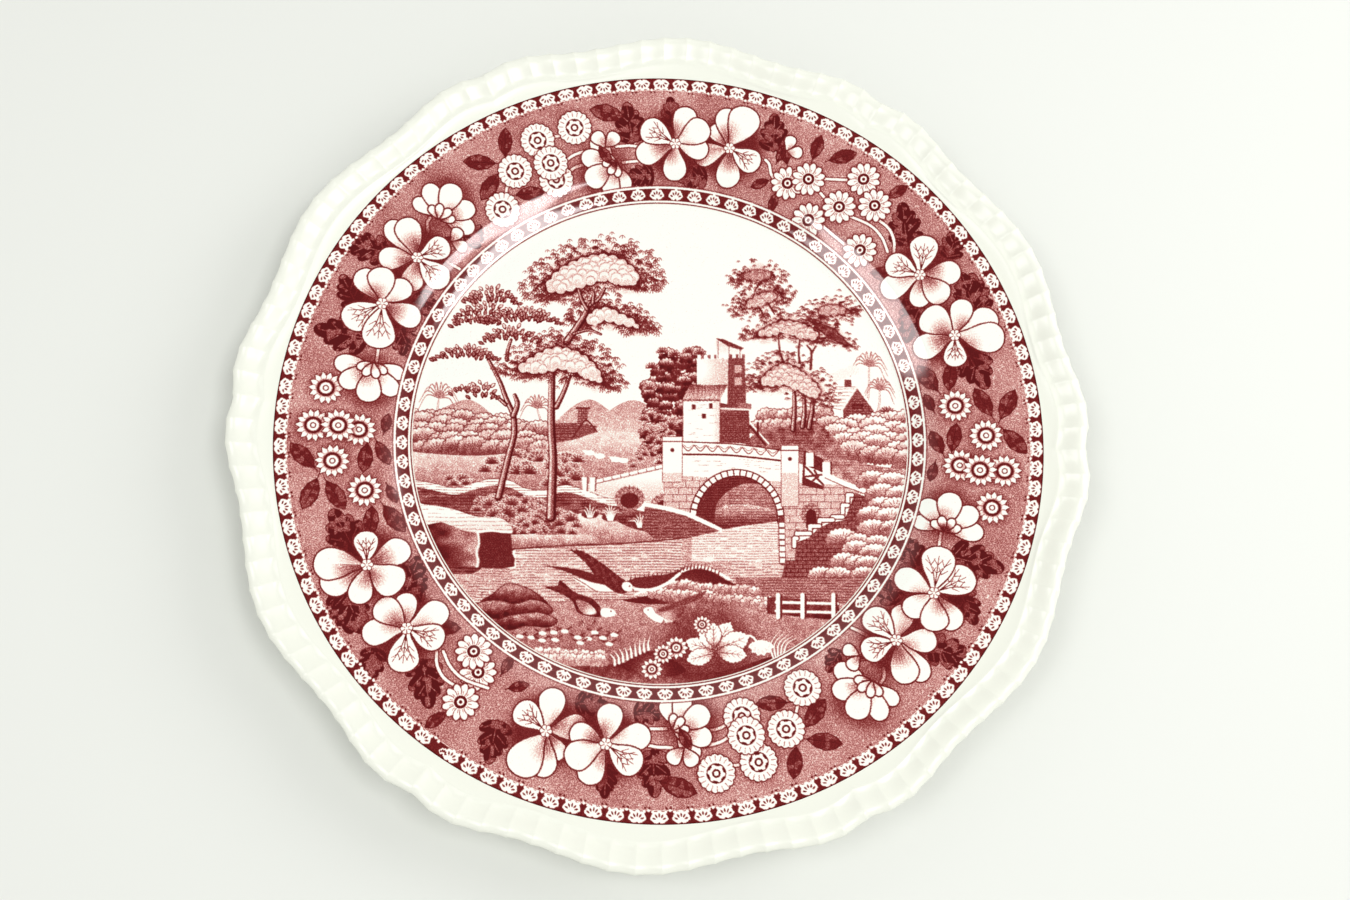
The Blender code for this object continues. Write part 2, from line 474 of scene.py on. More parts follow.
def paint_cottage():
    fill([(-33.6, 7.2), (-33.6, 0.8), (-21, 3.2), (-20.4, 6.4), (-26, 7.2)], bricks(0.6, 0.85, 0.9, 2.0))
    fill([(-34, 3.6), (-32.4, 7.4), (-26.6, 7.4), (-27.6, 3.4)], hatched(0.62, 0.8, 0.3, 0.2))
    fill([(-26.3, 12.0), (-23.1, 12.0), (-23.3, 8.0), (-26.6, 6.0)], bricks(0.55, 0.8, 0.8, 1.4))
    stroke([(-26.7, 12.2), (-22.7, 12.2)], 0.7, 0.8)
    sweep([(-28, 2.6), (-25.2, 6.8), (-23.4, 8.2), (-19.6, 3.6)], 0.5, 0.85)
    fill([(-27.4, 2.4), (-25, 6.4), (-23.2, 7.4), (-20.4, 3.8)], 0.66)


def paint_round_trees():
    """The dark clumps of foliage beside the tower."""
    for _ in range(115):
        x = rng.uniform(-4.5, 11.5)
        y = rng.uniform(-4, 31) * (0.45 + 0.55 * min(1, (x + 7) / 9))
        bush(np.array([x, y]), rng.uniform(3.6, 5.0), rng.uniform(1.9, 2.7), 0.1, 0.93, 1.1)
    for at in ((0.6, 30.5), (4.4, 29.5), (9.0, 30.5), (-3.6, 18.5), (-2.8, 25.5), (12.5, 30)):
        tuft(at, 2.3, 0.9, 0.1)
    tufts((-6.5, 4, 0.5, 9.5), 16, 2.2)
    tufts((-9, 3, -7, -1), 12, 2.0)


def paint_tower():
    fill(rect(11.6, 28.3, 21.6, 20), from_centre((11, 25), 0.02, 0.24, 11))
    for i in range(5):
        x = 11.7 + 2.15 * i
        fill(rect(x, 28.2, x + 1.1, 29.6), 0.03)
        fill(rect(x + 1.1, 28.4, x + 2.1, 29.7), 0.6)
    fill([(17.5, 34.6), (17.8, 28.6), (26, 28.6), (26.2, 31.6)], downhill(34, 28, 0.16, 0.05))
    fill([(17.4, 35.1), (19.8, 34.9), (26.6, 31.9), (25.6, 31.2), (21.5, 32.5)],
         bricks(0.72, 0.9, 0.8, 1.1))
    for x in (18.3, 21.8, 25.3):
        stroke([(x, 34.4 - 0.38 * (x - 18)), (x, 28.6)], 0.25, 0.6)
    fill([(21.6, 28.6), (21.2, 11.8), (27.3, 11.8), (26.8, 28.6)], bricks(0.66, 0.85, 1.0, 2.0))
    for i in range(3):
        fill(rect(21.9 + 2 * i, 28.4, 22.8 + 2 * i, 29.8), 0.7)
    for x, y in ((23.4, 23.8), (23.4, 19.8)):
        fill(rect(x, y, x + 2.4, y + 2.6), 0.32)
        stroke([(x, y), (x, y + 2.6), (x + 2.4, y + 2.6)], 0.2, 0.85)
    fill([(19.0, 14.0), (18.9, 1.0), (28.4, 0.5), (28.2, 12)], bricks(0.66, 0.82, 0.7, 1.5))
    fill([(24.6, 14.2), (28.9, 13.6), (28.9, 11.9), (19.3, 10.9), (19.3, 12.3), (25, 12.6)], 0.55)
    stroke([(19.3, 12.1), (28.2, 11.7)], 0.6, 0.12)
    front = np.array([(7.1, 15.0), (7.1, 0.6), (18.9, 1.0), (18.9, 15.0)])
    fill(front, lambda x, y: 0.04 + 0.2 * ease((x - 15) / 6) + 0 * y)
    for _ in range(26):
        at = rng.uniform((7.6, 1.4), (17.6, 14.2))
        stroke([at, at + (rng.uniform(0.8, 1.8), 0)], 0.15, 0.32)
    roof = [(6.9, 14.9), (9.4, 19.8), (21.4, 19.9), (19.0, 14.9)]

    def thatch(x, y):
        return 0.22 + 0.4 * ease((y - 15.5) / 5) + 0.12 * (hash_noise(np.floor(x * 2), 1) > 0.5)

    fill(roof, thatch)
    for i in range(8):
        stroke([(7.9 + 1.5 * i, 15.2), (9.6 + 1.5 * i, 18.9)], 0.16, 0.6)
    stroke(scalloped([(6.9, 14.9), (19, 14.9), (19, 15.0), (6.9, 15.0)], 1.2, 0.3)[:60], 0.3, 0.75)
    loop(front, 0.22, 0.75)
    for x, y in ((10.0, 11.8), (15.4, 12.1), (13.2, 8.8)):
        fill(rect(x, y, x + 1.2, y + 1.7), 0.85)


def paint_right_bank():
    for apex, height in (((66.4, 26.0), 5.5), ((69.8, 18.2), 4.6)):
        palm((apex[0] - 1.5, 8), np.array(apex), height)
    for at in ((58.0, 23.5), (61.0, 24.6), (55.5, 22.3)):
        fill(scalloped(ellipse(at, 4.5, 3.0), 1.2, 0.3), 0.1)
    bush_rows([(33, 52, 8.5, 9.5), (31, 52, 5.0, 6.5)], 5.5, 3.2, 0.1, 0.55)
    roof = np.array([(55.9, 19.2), (62.7, 19.2), (58.2, 11.5), (53.4, 12.6)])
    fill(roof, hatched(0.06, 1.1, 0.12, 0.3))
    loop(roof, 0.2, 0.6)
    fill([(58.6, 21.6), (60.8, 21.6), (60.8, 19.2), (58.6, 19.2)], 0.7)
    fill([(58.2, 12.3), (62.5, 19.0), (68.0, 11.6), (67.4, 8.2), (62, 6.2), (58.2, 8.6)],
         bricks(0.62, 0.82, 0.8, 1.7))
    stroke([(57.6, 11.4), (62.6, 19.3), (68.6, 11.0)], 0.7, 0.08)
    loop(np.array([(61.2, 12.2), (64.2, 12.2), (64.2, 13.2), (61.2, 13.2)]), 0.5, 0.9)
    for at in ((72.0, 10.5), (75.0, 8.5)):
        tuft(at, 3.0, 0.9, 0.2)
    bush_rows(
        [(62, 80, 5.5, 7.5), (54, 80, 5.6, 3.0), (56, 80, 2.6, 0.0), (58, 80, 0.2, -3.0),
         (60, 80, -3.0, -6.0)],
        10.0, 4.5, 0.06, 0.62,
    )  # fmt: skip
    hill = [(28, 2), (36, 4.5), (44, 7.8), (49, 8.0), (55, 3), (62, -5), (80, -9), (80, -16), (28, -12)]
    blob(hill, hatched(downhill(7, -9, 0.62, 0.4, 0.3), 0.9, 0.22, 0.16))
    stroke([(28.4, 7.6), (34.4, 0.6)], 0.5, 0.05)
    stroke([(28.4, 6.4), (33.4, 0.2)], 0.8, 0.85)
    stroke([(31.0, 7.4), (31.0, 3.6)], 0.7, 0.9)


def paint_right_trees():
    for base, top in (((42.2, 5.2), (42.4, 20)), ((45.2, 6.2), (45.7, 16)), ((47.3, 5.8), (48.6, 18.5))):
        trunk([base, (np.array(base) + top) / 2 + (0.4, 0), top], 1.3, 0.8)
    for line in (
        [(39.2, 27), (38.0, 31), (37.5, 36)],
        [(44.3, 27), (44.0, 31), (44.4, 35)],
        [(47.8, 25), (48.0, 30.5), (46.6, 32.8)],
        [(48.0, 30), (49.5, 32.6)],
        [(31.5, 45), (33.5, 41.5)],
        [(34, 47), (36.3, 43)],
        [(32.5, 54), (30, 50.8)],
    ):
        sweep(line, 0.8, 0.85, 0.45)
    canopy([(26.5, 55.5), (30.5, 57.2), (35, 56.2), (33, 54.6), (29, 54.4)], 5.2, 130, 0.4, 0.6, 0.7)
    canopy([(27.5, 46.4), (31, 49), (35.8, 50), (36.4, 48.0), (32, 46.2), (28.5, 45.3)], 6.2, 190, 0.26,
           0.6, 0.75)
    canopy([(50.5, 44.3), (54, 45.8), (58, 45), (58.6, 43.6), (55, 43), (52, 42.8)], 5.6, 150, 0.3, 0.6,
           0.75)
    canopy([(50, 39.5), (55, 37.6), (59, 33.5), (56, 34.6), (52, 37.2)], 4.6, 120, 0.62, 0.6, 0.9)
    canopy(
        [(31, 36.6), (36, 39.6), (40, 40.6), (45, 39.6), (49.6, 37), (49.2, 35), (44, 35.6), (39, 37.2),
         (34.5, 36)],
        6.0, 240, 0.2, 0.62, 0.85,
    )  # fmt: skip
    canopy(
        [(32, 20.8), (35, 24.4), (38.8, 26.4), (43, 25.2), (47.5, 21.8), (50.6, 18), (49, 15.6), (45, 17.6),
         (40, 20), (35, 19.6)],
        6.6, 300, 0.17, 0.62, 0.8,
    )  # fmt: skip


def paint_left_bank():
    tufts((-56, -40, -9, -3), 16, 3.0)
    tufts((-42, -26, -13, -3), 22, 3.0)
    tufts((-68, -57, -13, -10), 6, 2.3)
    crest = [
        (-82, -10.8), (-78, -11.3), (-72, -12.4), (-65.5, -13.8), (-59, -12), (-53.4, -10.8),
        (-47.6, -11.6), (-43.2, -13.9), (-36.8, -14.6), (-30.4, -12.9), (-24, -14.6), (-17.7, -16.9),
        (-11.3, -17.9), (-5, -19.4), (1.4, -20.6), (8, -22.4), (14, -25.2), (18.8, -27.6),
    ]  # fmt: skip
    line = curve(crest)
    low = [(10, -29.6), (0, -30.2), (-8, -31.4), (-20, -32.4), (-46, -33.8), (-60, -42), (-82, -42)]
    body = np.vstack([line, low])

    def soil(x, y):
        return np.clip(0.5 + 0.3 * cloudy(x, y * 2.2, 3.0, 4.0) - 0.004 * (y + 20), 0, 1)

    fill(body, hatched(soil, 1.0, 0.25, 0.2))
    strip = np.vstack([line, (line - (0, 2.3))[::-1]])
    fill(strip, hatched(0.03, 0.9, 0.14, 0.5))
    stroke(line, 0.2, 0.8)
    mound = [(-28, -23.0), (-20.3, -22.4), (-14, -24.8), (-9.4, -27), (0, -29.4), (0.5, -31), (-20, -32.3),
             (-30, -29)]
    blob(mound, downhill(-22, -33, 0.12, 0.5, 0.16))
    shore = [(-48, -28.3), (-38, -29.2), (-28, -29.0), (-21.5, -29.6), (-20.5, -31.8), (-34, -32.8),
             (-47, -33.8)]
    blob(shore, downhill(-28, -34, 0.14, 0.56, 0.16))
    sweep([(-47, -33.9), (-34, -33.0), (-20.3, -32.5), (-8, -31.8), (0.5, -31.0), (10, -30)], 0.5, 0.8)
    tufts((-64, -50, -22, -17.5), 9, 2.6)
    tufts((-53, -36, -29, -18), 26, 2.9)
    tufts((-44, -22, -29, -22.5), 18, 2.6)
    for x, y, blades, height in ((-22.5, -23.5, 5, 4.6), (-16.0, -24.5, 8, 5.6), (-6.5, -26.8, 7, 4.8)):
        fill(ellipse((x, y + 0.9), 5.5, 2.6), 0.8)
        grass((x, y), blades, height, 5.0)


def paint_rock_and_cave():
    top = [(-82, -18), (-75.7, -19.2), (-67, -20.6), (-59, -23.2), (-54, -23.4), (-49.6, -24.5),
           (-47.4, -28.6), (-58, -29)]
    blob([*top, (-75, -27), (-82, -27)], hatched(downhill(-19, -29, 0.02, 0.14), 1.3, 0.1, 0.25))
    front = [(-82, -26), (-74.4, -26), (-70, -25), (-66, -26.4), (-63, -27.8), (-58.5, -28.6),
             (-58.3, -39.6), (-82, -39.6)]
    fill(front, lambda x, y: np.clip(0.45 + 0.5 * cloudy(x * 0.6, y, 2.6, 1.0) + 0.03 * (-66 - x), 0, 0.95))
    cave = [(-57.8, -28.6), (-52, -27.9), (-47.6, -28.4), (-47.2, -35.5), (-46.4, -37), (-46.6, -39.6),
            (-50, -40.2), (-57.8, -40)]
    fill(cave, bricks(0.78, 0.95, 0.5, 0.8))
    sweep([(-58.2, -28.4), (-57.9, -32), (-58.6, -35), (-58.1, -38), (-58.6, -39.6)], 0.8, 0.08)
    sweep([(-58.2, -28.4), (-54, -27.9), (-50, -28.3), (-47.5, -28.4)], 0.7, 0.05)


def paint_water():
    edge = [(-82, -39), (-58, -40), (-46, -40), (-46.4, -33.6), (-20, -32.2), (0, -30), (18.6, -27.6),
            (44, -22), (44, -52), (-82, -56)]

    def tone(x, y):
        return 0.13 + 0.1 * cloudy(x, y * 3, 5.0, 6.0)

    fill(edge, hatched(tone, 0.9, 0.34, 0.38))
    for box in ((-66, -58, -41, -50), (-57, -48, -40.5, -47), (8, 22, -30, -43)):
        x0, x1, y0, y1 = box
        shape = curve([(x0, y0), (x1, y0), (x1 - 1, y1), (x0 + 1, y1 + 1)], closed=True)
        fill(shape, hatched(0.3, 0.82, 0.32, 0.22))


def paint_bridge():
    """A stone bridge with one main arch, two small ones and a stair."""
    low_wall = [(-24, -12.8), (-12, -9.3), (0.8, -6.3), (0.8, -21), (-12, -17.8), (-24, -14.8)]
    fill(low_wall, downhill(-7, -19, 0.03, 0.22))
    for i in range(8):
        x = -20.4 + 2.75 * i
        y = -11.8 + 0.235 * (x + 20.4)
        stroke([(x, y), (x + 2.1, y + 0.5)], 1.5, 0.7)
        stroke([(x, y + 0.1), (x + 2.1, y + 0.6)], 1.1, 0.0)
    for x in (-24.2, -21.6):
        fill([(x - 1, -10.4), (x - 0.6, -14.8), (x + 0.8, -14.8), (x + 1, -10.4)], 0.02)
        stroke([(x + 1, -10.4), (x + 0.8, -14.8)], 0.4, 0.85)
    for centre in ((-9.9, -17.3), (1.4, -19.8)):
        fill(ellipse(centre, 9.6, 8.0), bricks(0.4, 0.7, 1.0, 1.6))
        fill(ellipse(np.array(centre) - (0, 0.7), 6.0, 5.2), 0.88)
        for a in np.linspace(10, 170, 9):
            stroke([centre + polar(a, 3.0), centre + polar(a, 4.3)], 0.2, 0.85)
    face = [
        (0.8, -4), (7, -3.8), (22, -4.2), (38, -5.8), (44, -5.8), (52.4, -9), (64.5, -14.4), (66, -16),
        (61.3, -15.9), (58, -23.1), (53, -25), (49.2, -27.3), (42.8, -30.3), (42.8, -38), (39.4, -38),
        (39.4, -24), (9, -24), (1, -21),
    ]  # fmt: skip
    stones = bricks(0.26, 0.62, 2.3, 4.4)
    fill(face, lambda x, y: np.where(y > -9.5 - 0.06 * x, 0.03, stones(x, y)))
    for _ in range(36):
        x, y = rng.uniform((8, -9.5), (37, -5))
        stroke([(x, y), (x + rng.uniform(1, 2.4), y)], 0.15, 0.35)
    arch, inner, outer = np.array([24.3, -24.2]), np.array([13.0, 14.2]), np.array([15.0, 16.3])
    t = np.radians(np.linspace(0, 180, 40))
    hole = np.vstack([np.column_stack([np.cos(t), np.sin(t)]) * inner + arch,
                      [(11.3, -24.2), (12, -27), (37.3, -34)]])
    fill(hole, hatched(0.78, 0.9, 0.3, 0.14))
    near_hill = [(17.5, -24), (18, -19), (22, -14.6), (28, -12.4), (34, -14), (37, -19), (37.2, -25),
                 (20, -26)]
    blob(near_hill, hatched(downhill(-12, -26, 0.42, 0.5, 0.2), 0.9, 0.3, 0.2))
    lower_hill = [(17.3, -24), (19, -20.3), (25, -19.2), (32, -20), (37.2, -22), (37.2, -25.4), (27, -26),
                  (19, -26)]
    blob(lower_hill, hatched(downhill(-19, -26, 0.24, 0.68, 0.1), 0.9, 0.3, 0.2))
    stream = [(18.6, -27.6), (26, -26.4), (37.3, -24.9), (37.4, -38), (10, -38), (10, -30)]
    fill(stream, hatched(0.1, 0.82, 0.32, 0.3))
    band = [arch + polar(a, 1) * (inner + outer) / 2 for a in np.linspace(-2, 184, 60)]
    stroke(band, 2.5, 0.9)
    for a in np.linspace(0, 180, 23):
        stone = [(-0.75, -0.85), (0.75, -0.85), (0.85, 0.85), (-0.85, 0.85)]
        fill(place(stone, arch + polar(a, 1) * (inner + outer) / 2, a - 90), 0.0)
    stroke([(38.5, -24.4), (38.9, -38.2)], 2.2, 0.75)
    for y in np.arange(-26, -38, -1.95):
        fill(place([(-0.85, -0.7), (0.85, -0.7), (0.85, 0.7), (-0.85, 0.7)], (38.6 - 0.02 * (y + 25), y)),
             0.0)
    # The parapet between its two piers, with a row of swags.
    parapet = [(7, 1.2), (15, 0.9), (24, 0.4), (32, -0.6), (38.4, -1.6), (38.4, -5.9), (30, -4.9),
               (20, -4.0), (7, -3.8)]
    fill(parapet, 0.02)
    for i in range(8):
        x = 8.8 + 3.85 * i
        y = 0.1 - 0.0021 * (x - 7) ** 2
        sweep([(x - 1.9, y), (x, y - 1.9), (x + 1.9, y)], 0.3, 0.75)
        sweep([(x - 1.5, y + 0.1), (x, y - 0.9), (x + 1.5, y + 0.1)], 0.2, 0.6)
    sweep(parapet[:5], 0.4, 0.85)
    sweep([(7, -2.9), (20, -3.1), (30, -4.0), (38.4, -5.0)], 0.6, 0.85)
    for x0, x1, y0, y1 in ((0.6, 6.9, 2.9, -12.0), (38.4, 44.0, 0.0, -20.0)):
        fill(rect(x0, y0, x1, y1), lambda x, y: np.where(y > -9, 0.03, 0.2) + 0.0 * x)
        loop(np.array(rect(x0, y0, x1, y1)), 0.22, 0.7)
        stroke([(x0 - 0.2, y0 - 1.6), (x1 + 0.2, y0 - 1.6)], 0.35, 0.8)
        disc(((x0 + x1) / 2, y0 - 4.4), 0.65, 0.85)
    # The lattice panel and the wall that runs down to the right.
    fill([(45.6, -1.5), (52, -4.5), (52, -14.5), (45.0, -13.0)], 0.84)
    fill([(46.0, -6.5), (52.0, -9.0), (52.0, -13.4), (46.0, -10.5)], 0.02)
    for line in ([(46.2, -7.0), (51.8, -12.8)], [(46.2, -10.2), (51.8, -9.5)],
                 [(49, -8.2), (50.2, -10.2), (48.6, -11.4)]):
        stroke(line, 0.7, 0.8)
    for x, y in ((47.6, -2.4), (52.9, -5.4)):
        fill(rect(x - 1.3, y, x + 1.3, y - 4.5), 0.02)
        stroke([(x + 1.4, y), (x + 1.4, y - 4.5)], 0.5, 0.85)
    stroke([(52.4, -9.6), (58.4, -12.4), (65, -15)], 1.7, 0.04)
    stroke([(52.4, -10.6), (58.4, -13.4), (65, -15.8)], 0.3, 0.75)
    # The small door and the stair's brick side.
    fill(ellipse((48.0, -22.6), 6.6, 7.4), bricks(0.4, 0.78, 0.9, 1.4))
    fill([(46.3, -27), (46.3, -22.6), (47.0, -21.2), (48, -20.8), (49.2, -21.4), (49.6, -22.8),
          (49.6, -26)], 0.9)
    side = [(62, -15.5), (66.5, -17), (67, -22), (60, -32), (54, -43.5), (38.6, -43.5), (39.6, -37.5),
            (42.8, -37.5), (43, -31.8), (47.6, -30), (50, -27.3), (53.6, -25.4), (58.6, -24.4),
            (60.4, -19.5)]  # fmt: skip
    fill(side, bricks(0.64, 0.97, 1.3, 2.6))
    stair = [(61.0, -16.2), (59.6, -19.6), (58.0, -23.4), (54.8, -24.4), (50.6, -26.4), (47.6, -28.8),
             (43.4, -30.4), (42.6, -33)]
    for start, end in zip(stair, stair[1:]):
        across = np.array((end[0], start[1]))
        stroke([start, across], 1.9, 0.85)
        stroke([across, end], 1.9, 0.85)
        stroke([start, across], 1.15, 0.0)
        stroke([across, end], 1.15, 0.0)


def paint_right_clouds():
    """The pale, layered bushes at the right edge."""
    rows = [
        (68, 80, -12.6, -14), (71, 80, -17, -18), (70, 80, -20.5, -21.5), (66, 79, -24.5, -25.6),
        (67, 79, -28, -29), (58, 76, -31.5, -33.5), (62, 74, -35.5, -37), (58, 72, -39.5, -40.5),
        (51, 70, -43, -44),
    ]  # fmt: skip
    bush_rows(rows, 9.0, 3.8, 0.0, 0.58)


def paint_near_bank():
    fill([(24, -43), (40, -43.2), (80, -43.2), (80, -52), (24, -52)], hatched(0.48, 0.9, 0.3, 0.24))
    bank = [
        (-84, -58), (-59, -51.5), (-50, -51), (-38, -51.2), (-30, -51), (-22, -50.4), (-11.3, -50.3),
        (-4, -49.6), (6, -45.5), (11, -43.5), (17, -44.5), (24, -47), (34, -50.5), (44, -53), (60, -52),
        (84, -50), (84, -84), (-84, -84),
    ]  # fmt: skip
    fill(bank, downhill(-50, -72, 0.4, 0.56, 0.16))
    sweep(bank[1:7], 0.25, 0.8)
    mound = [(-12, -50.6), (-4, -49), (2, -45), (7, -41.6), (11.5, -40.4), (16, -41.2), (21, -44),
             (27, -47.2), (30, -50), (0, -52)]
    blob(mound, from_centre((9, -52), 0.45, 0.9, 12))
    sweep([(-8, -48.6), (-2, -46.4), (5, -42.0), (11.5, -39.8), (17, -41), (22, -43.8)], 0.8, 0.04)
    for x in np.arange(5.5, 19, 1.1):
        y = -40.2 - 0.045 * (x - 11.5) ** 2
        stroke([(x - 0.4, y), (x, y + 1.5)], 0.5, 0.85, 0.2)
    bush_rows([(-1, 30, -46, -48.6), (-2, 34, -49, -52.0), (14, 36, -50.2, -53.6)], 4.4, 2.3, 0.08, 0.5)


def paint_front_left():
    for lump, top, low in (
        ([(-57, -51.6), (-53.5, -48.6), (-49, -45.2), (-45.6, -45.6), (-41, -47.4), (-36.6, -51),
          (-37, -52.6), (-46, -53)], -45, -52.4),
        ([(-61, -55.4), (-58, -51.6), (-52, -50.6), (-46.6, -51.8), (-41, -50.4), (-36, -52), (-35, -55),
          (-46, -57)], -50.4, -56),
        ([(-54, -59), (-50, -56.2), (-44, -55), (-38.6, -54.6), (-33, -57), (-35.6, -59.4), (-43, -59),
          (-48, -60.4)], -54.6, -59.8),
    ):
        blob(lump, downhill(top, low, 0.36, 1.0, 0.3))
        loop(curve(lump, closed=True), 0.3, 0.95)
    for _ in range(60):
        at = rng.uniform((-57, -58), (-37, -47))
        stroke([at, at + (rng.uniform(-1, 0.2), -1.6)], 0.16, 0.75)
    for x, y in (
        (-44.8, -62.5), (-41.2, -62.8), (-37.6, -61.4), (-34, -61.2), (-30.6, -60.8), (-33.6, -63.6),
        (-37.8, -63.8), (-26.4, -62.8), (-23, -63.2), (-18.4, -63), (-25.6, -64.6), (-16.4, -65),
        (-14.8, -62), (-21, -61.2),
    ):  # fmt: skip
        stroke([(x - 2.4, y + 1.2), (x, y), (x + 2.2, y + 1.4)], 0.55, 0.8)
        fill(ellipse((x, y), 2.5, 1.3, -8), 0.0)
    dark = [(-60, -70), (-40, -70.4), (-20, -72), (-8, -71), (2, -74), (20, -74), (36, -69), (50, -70),
            (50, -84), (-60, -84)]
    blob(dark, downhill(-69, -79, 0.86, 0.58, 0.2))
    bush_rows([(-38, -19, -68.8, -69.6), (-38.5, -20, -70.4, -71.2)], 4.2, 2.4, 0.04, 0.4)
    mound = [(-12, -73), (-10, -70), (-6, -67.6), (-1, -67.4), (4, -70), (8, -74), (-2, -76)]
    blob(mound, from_centre((-3, -74), 0.5, 0.88, 8))
    for i in range(9):
        root = np.array((-14.6 + 1.35 * i, -71.8 + 0.62 * i))
        sweep([root, root + (-0.2, 2.0), root + (-1.6 + 0.25 * i, 3.6 + 0.1 * i)], 0.85, 0.03, 0.15)


def paint_birds():
    """A long-winged bird over the water and two ducks on the near bank."""
    blob([(-37, -39.3), (-27, -40.4), (-20, -42.6), (-14, -46), (-16, -47.4), (-24, -44), (-31, -41)], 0.85)
    blob([(-28, -43), (-21, -45), (-14, -46.4), (-13.2, -48), (-20, -48), (-25, -45.6)], 0.06)
    sweep([(-28, -43), (-24, -45.4), (-20, -47.8), (-13.2, -48)], 0.25, 0.8)
    wing = [(-11, -44.6), (-6, -43), (0, -42.4), (5, -41.2), (8, -39.4), (3, -44), (-3, -46.6), (-8, -46.4)]
    blob(wing, 0.82)
    sweep([(-9, -47), (-3, -47.2), (2, -45.2), (6, -42)], 1.0, 0.04)
    for i in range(11):
        x = -9.6 + 1.4 * i
        y = -43.2 + 0.18 * i
        stroke([(x, y - 0.8), (x + 0.3, y + 0.7)], 0.45, 0.85, 0.15)
    body = [(-28, -34.4), (-24.4, -34.8), (-18, -39), (-13.5, -42.6), (-9.8, -45.4), (-10.5, -48),
            (-14, -48.2), (-19.6, -44), (-23.2, -39.4), (-26, -36.4)]  # fmt: skip
    blob(body, lambda x, y: 0.7 + 0.25 * cloudy(x, y, 0.7, 4.0))
    for x in (-28.4, -26.8):
        stroke([(x, -34.2), (x + 3.4, -36.6)], 0.6, 0.88)
    fill(ellipse((-10.6, -46.2), 3.6, 3.0, -30), 0.02)
    stroke([(-8.9, -47), (-7.8, -48.4)], 0.5, 0.5, 0.15)
    disc((-9.9, -46.0), 0.28, 0.9)
    duck = [(-36.8, -46.4), (-33, -46), (-31.8, -44.2), (-27.4, -48), (-22, -50), (-19.2, -53),
            (-18.6, -55.8), (-22, -56), (-26.4, -54.6), (-28.4, -50.6), (-33, -48)]
    blob(duck, lambda x, y: 0.76 + 0.2 * cloudy(x, y, 0.7, 6.0))
    blob([(-27, -50.6), (-23, -51.6), (-20.4, -54.8), (-24.6, -55)], from_centre((-22, -55), 0.05, 0.5, 4))
    blob([(-18.8, -53.4), (-15.4, -53.6), (-14.2, -55.6), (-18.6, -56)], 0.0)
    stroke([(-14.4, -55.4), (-13.2, -56.2)], 0.5, 0.3, 0.2)
    disc((-15.8, -54.3), 0.25, 0.9)
    blob([(-5.6, -54), (-3, -52.8), (-1.4, -55), (2, -56.6), (6, -56.4), (2, -58), (-2, -57.4)], 0.0)
    blob([(-0.8, -53.6), (4, -51.6), (9, -49.6), (14.6, -47.6), (12, -50.4), (6, -52.8), (1, -54.4)], 0.7)
    blob([(0, -55), (4, -53.6), (8, -52.6), (6, -56.4), (2, -57)], from_centre((2, -56), 0.2, 0.66, 5))
    stroke([(-5.6, -54.1), (-6.8, -54)], 0.4, 0.6, 0.2)
    disc((-4, -53.8), 0.22, 0.9)
    for x in (-25, -21, 1, 4.6):
        for dx in (-0.9, 0, 0.9):
            stroke([(x, -57.2), (x + dx, -58.8)], 0.2, 0.85)


def paint_fence_and_flowers():
    ground = [(34, -49.6), (57, -51), (57, -57.4), (34, -55)]
    fill(ground, lambda x, y: 0.62 + 0.25 * cloudy(x, y, 1.6) - 0.02 * (y + 50))
    for y in (-51.3, -54.2):
        stroke([(36.8, y), (56.4, y - 0.5)], 0.9, 0.02)
    for x in (37.4, 45.2, 55.0):
        stroke([(x + 0.5, -49.4), (x + 0.5, -56)], 1.7, 0.85)
        stroke([(x, -48.9), (x, -56.2)], 1.3, 0.02)
    shadow((15, -66), 15, 0.5)
    for at, turn, length in (
        ((17.5, -67), 165, 9.5), ((17.5, -67), 117, 9.5), ((17, -67), 60, 10.5), ((18, -66.5), 22, 11),
        ((18, -67.5), -8, 9.5), ((17, -68), -165, 9), ((17, -66), 92, 8),
    ):  # fmt: skip
        pale_leaf(at, turn, length)
    for at, radius, points in (((13.2, -58.6), 2.9, 12), ((5.0, -66.2), 3.7, 12), ((0.8, -68.2), 3.2, 12),
        ((-2.8, -73.2), 3.5, 11)):
        star_daisy(at, radius, points)
    sweep([(8.4, -64.2), (10, -63.4), (13, -64)], 0.7, 0.02)
    sweep([(20, -64), (28, -62.2), (31, -64.6)], 0.6, 0.02)
    for a in np.linspace(200, 340, 6):
        almond(np.array((32.0, -64.6)), a, 4.4, 0.02, 0.12)
    fill(ellipse((32, -65), 5.2, 2.6), 0.03)
    for i in range(5):
        x = 35 + 1.3 * i
        sweep([(36 + 0.7 * i, -70), (x, -65), (x + 3.2, -60.5 - 0.6 * i)], 0.6, 0.03, 0.15)


def shadow(at, radius, strength):
    """Darkens the ground around a flower."""
    rows, cols, x, y = window([at], radius + 3)
    away = np.hypot(x - at[0], y - at[1])
    part = sheet[rows, cols]
    beyond = np.maximum(away - 0.7 * radius, 0)
    part += strength * (0.95 - part) * np.exp(-(beyond**2) / (0.08 * radius**2 + 1))


def pale_leaf(at, turn, length):
    """A white leaf with a toothed edge and dark veins."""
    edge = scalloped(place(np.array(LEAF) * (1, 1.15), at, turn, length), 1.2, 0.28)
    fill(edge, from_centre(at, 0.5, 0.02, 0.5 * length))
    loop(edge, 0.2, 0.8)
    stroke([at, at + polar(turn, 0.85 * length)], 0.3, 0.75, 0.12)
    for t in (0.3, 0.48, 0.66):
        root = at + polar(turn, t * length)
        for side in (-38, 38):
            stroke([root, root + polar(turn + side, 0.2 * length)], 0.2, 0.6, 0.1)


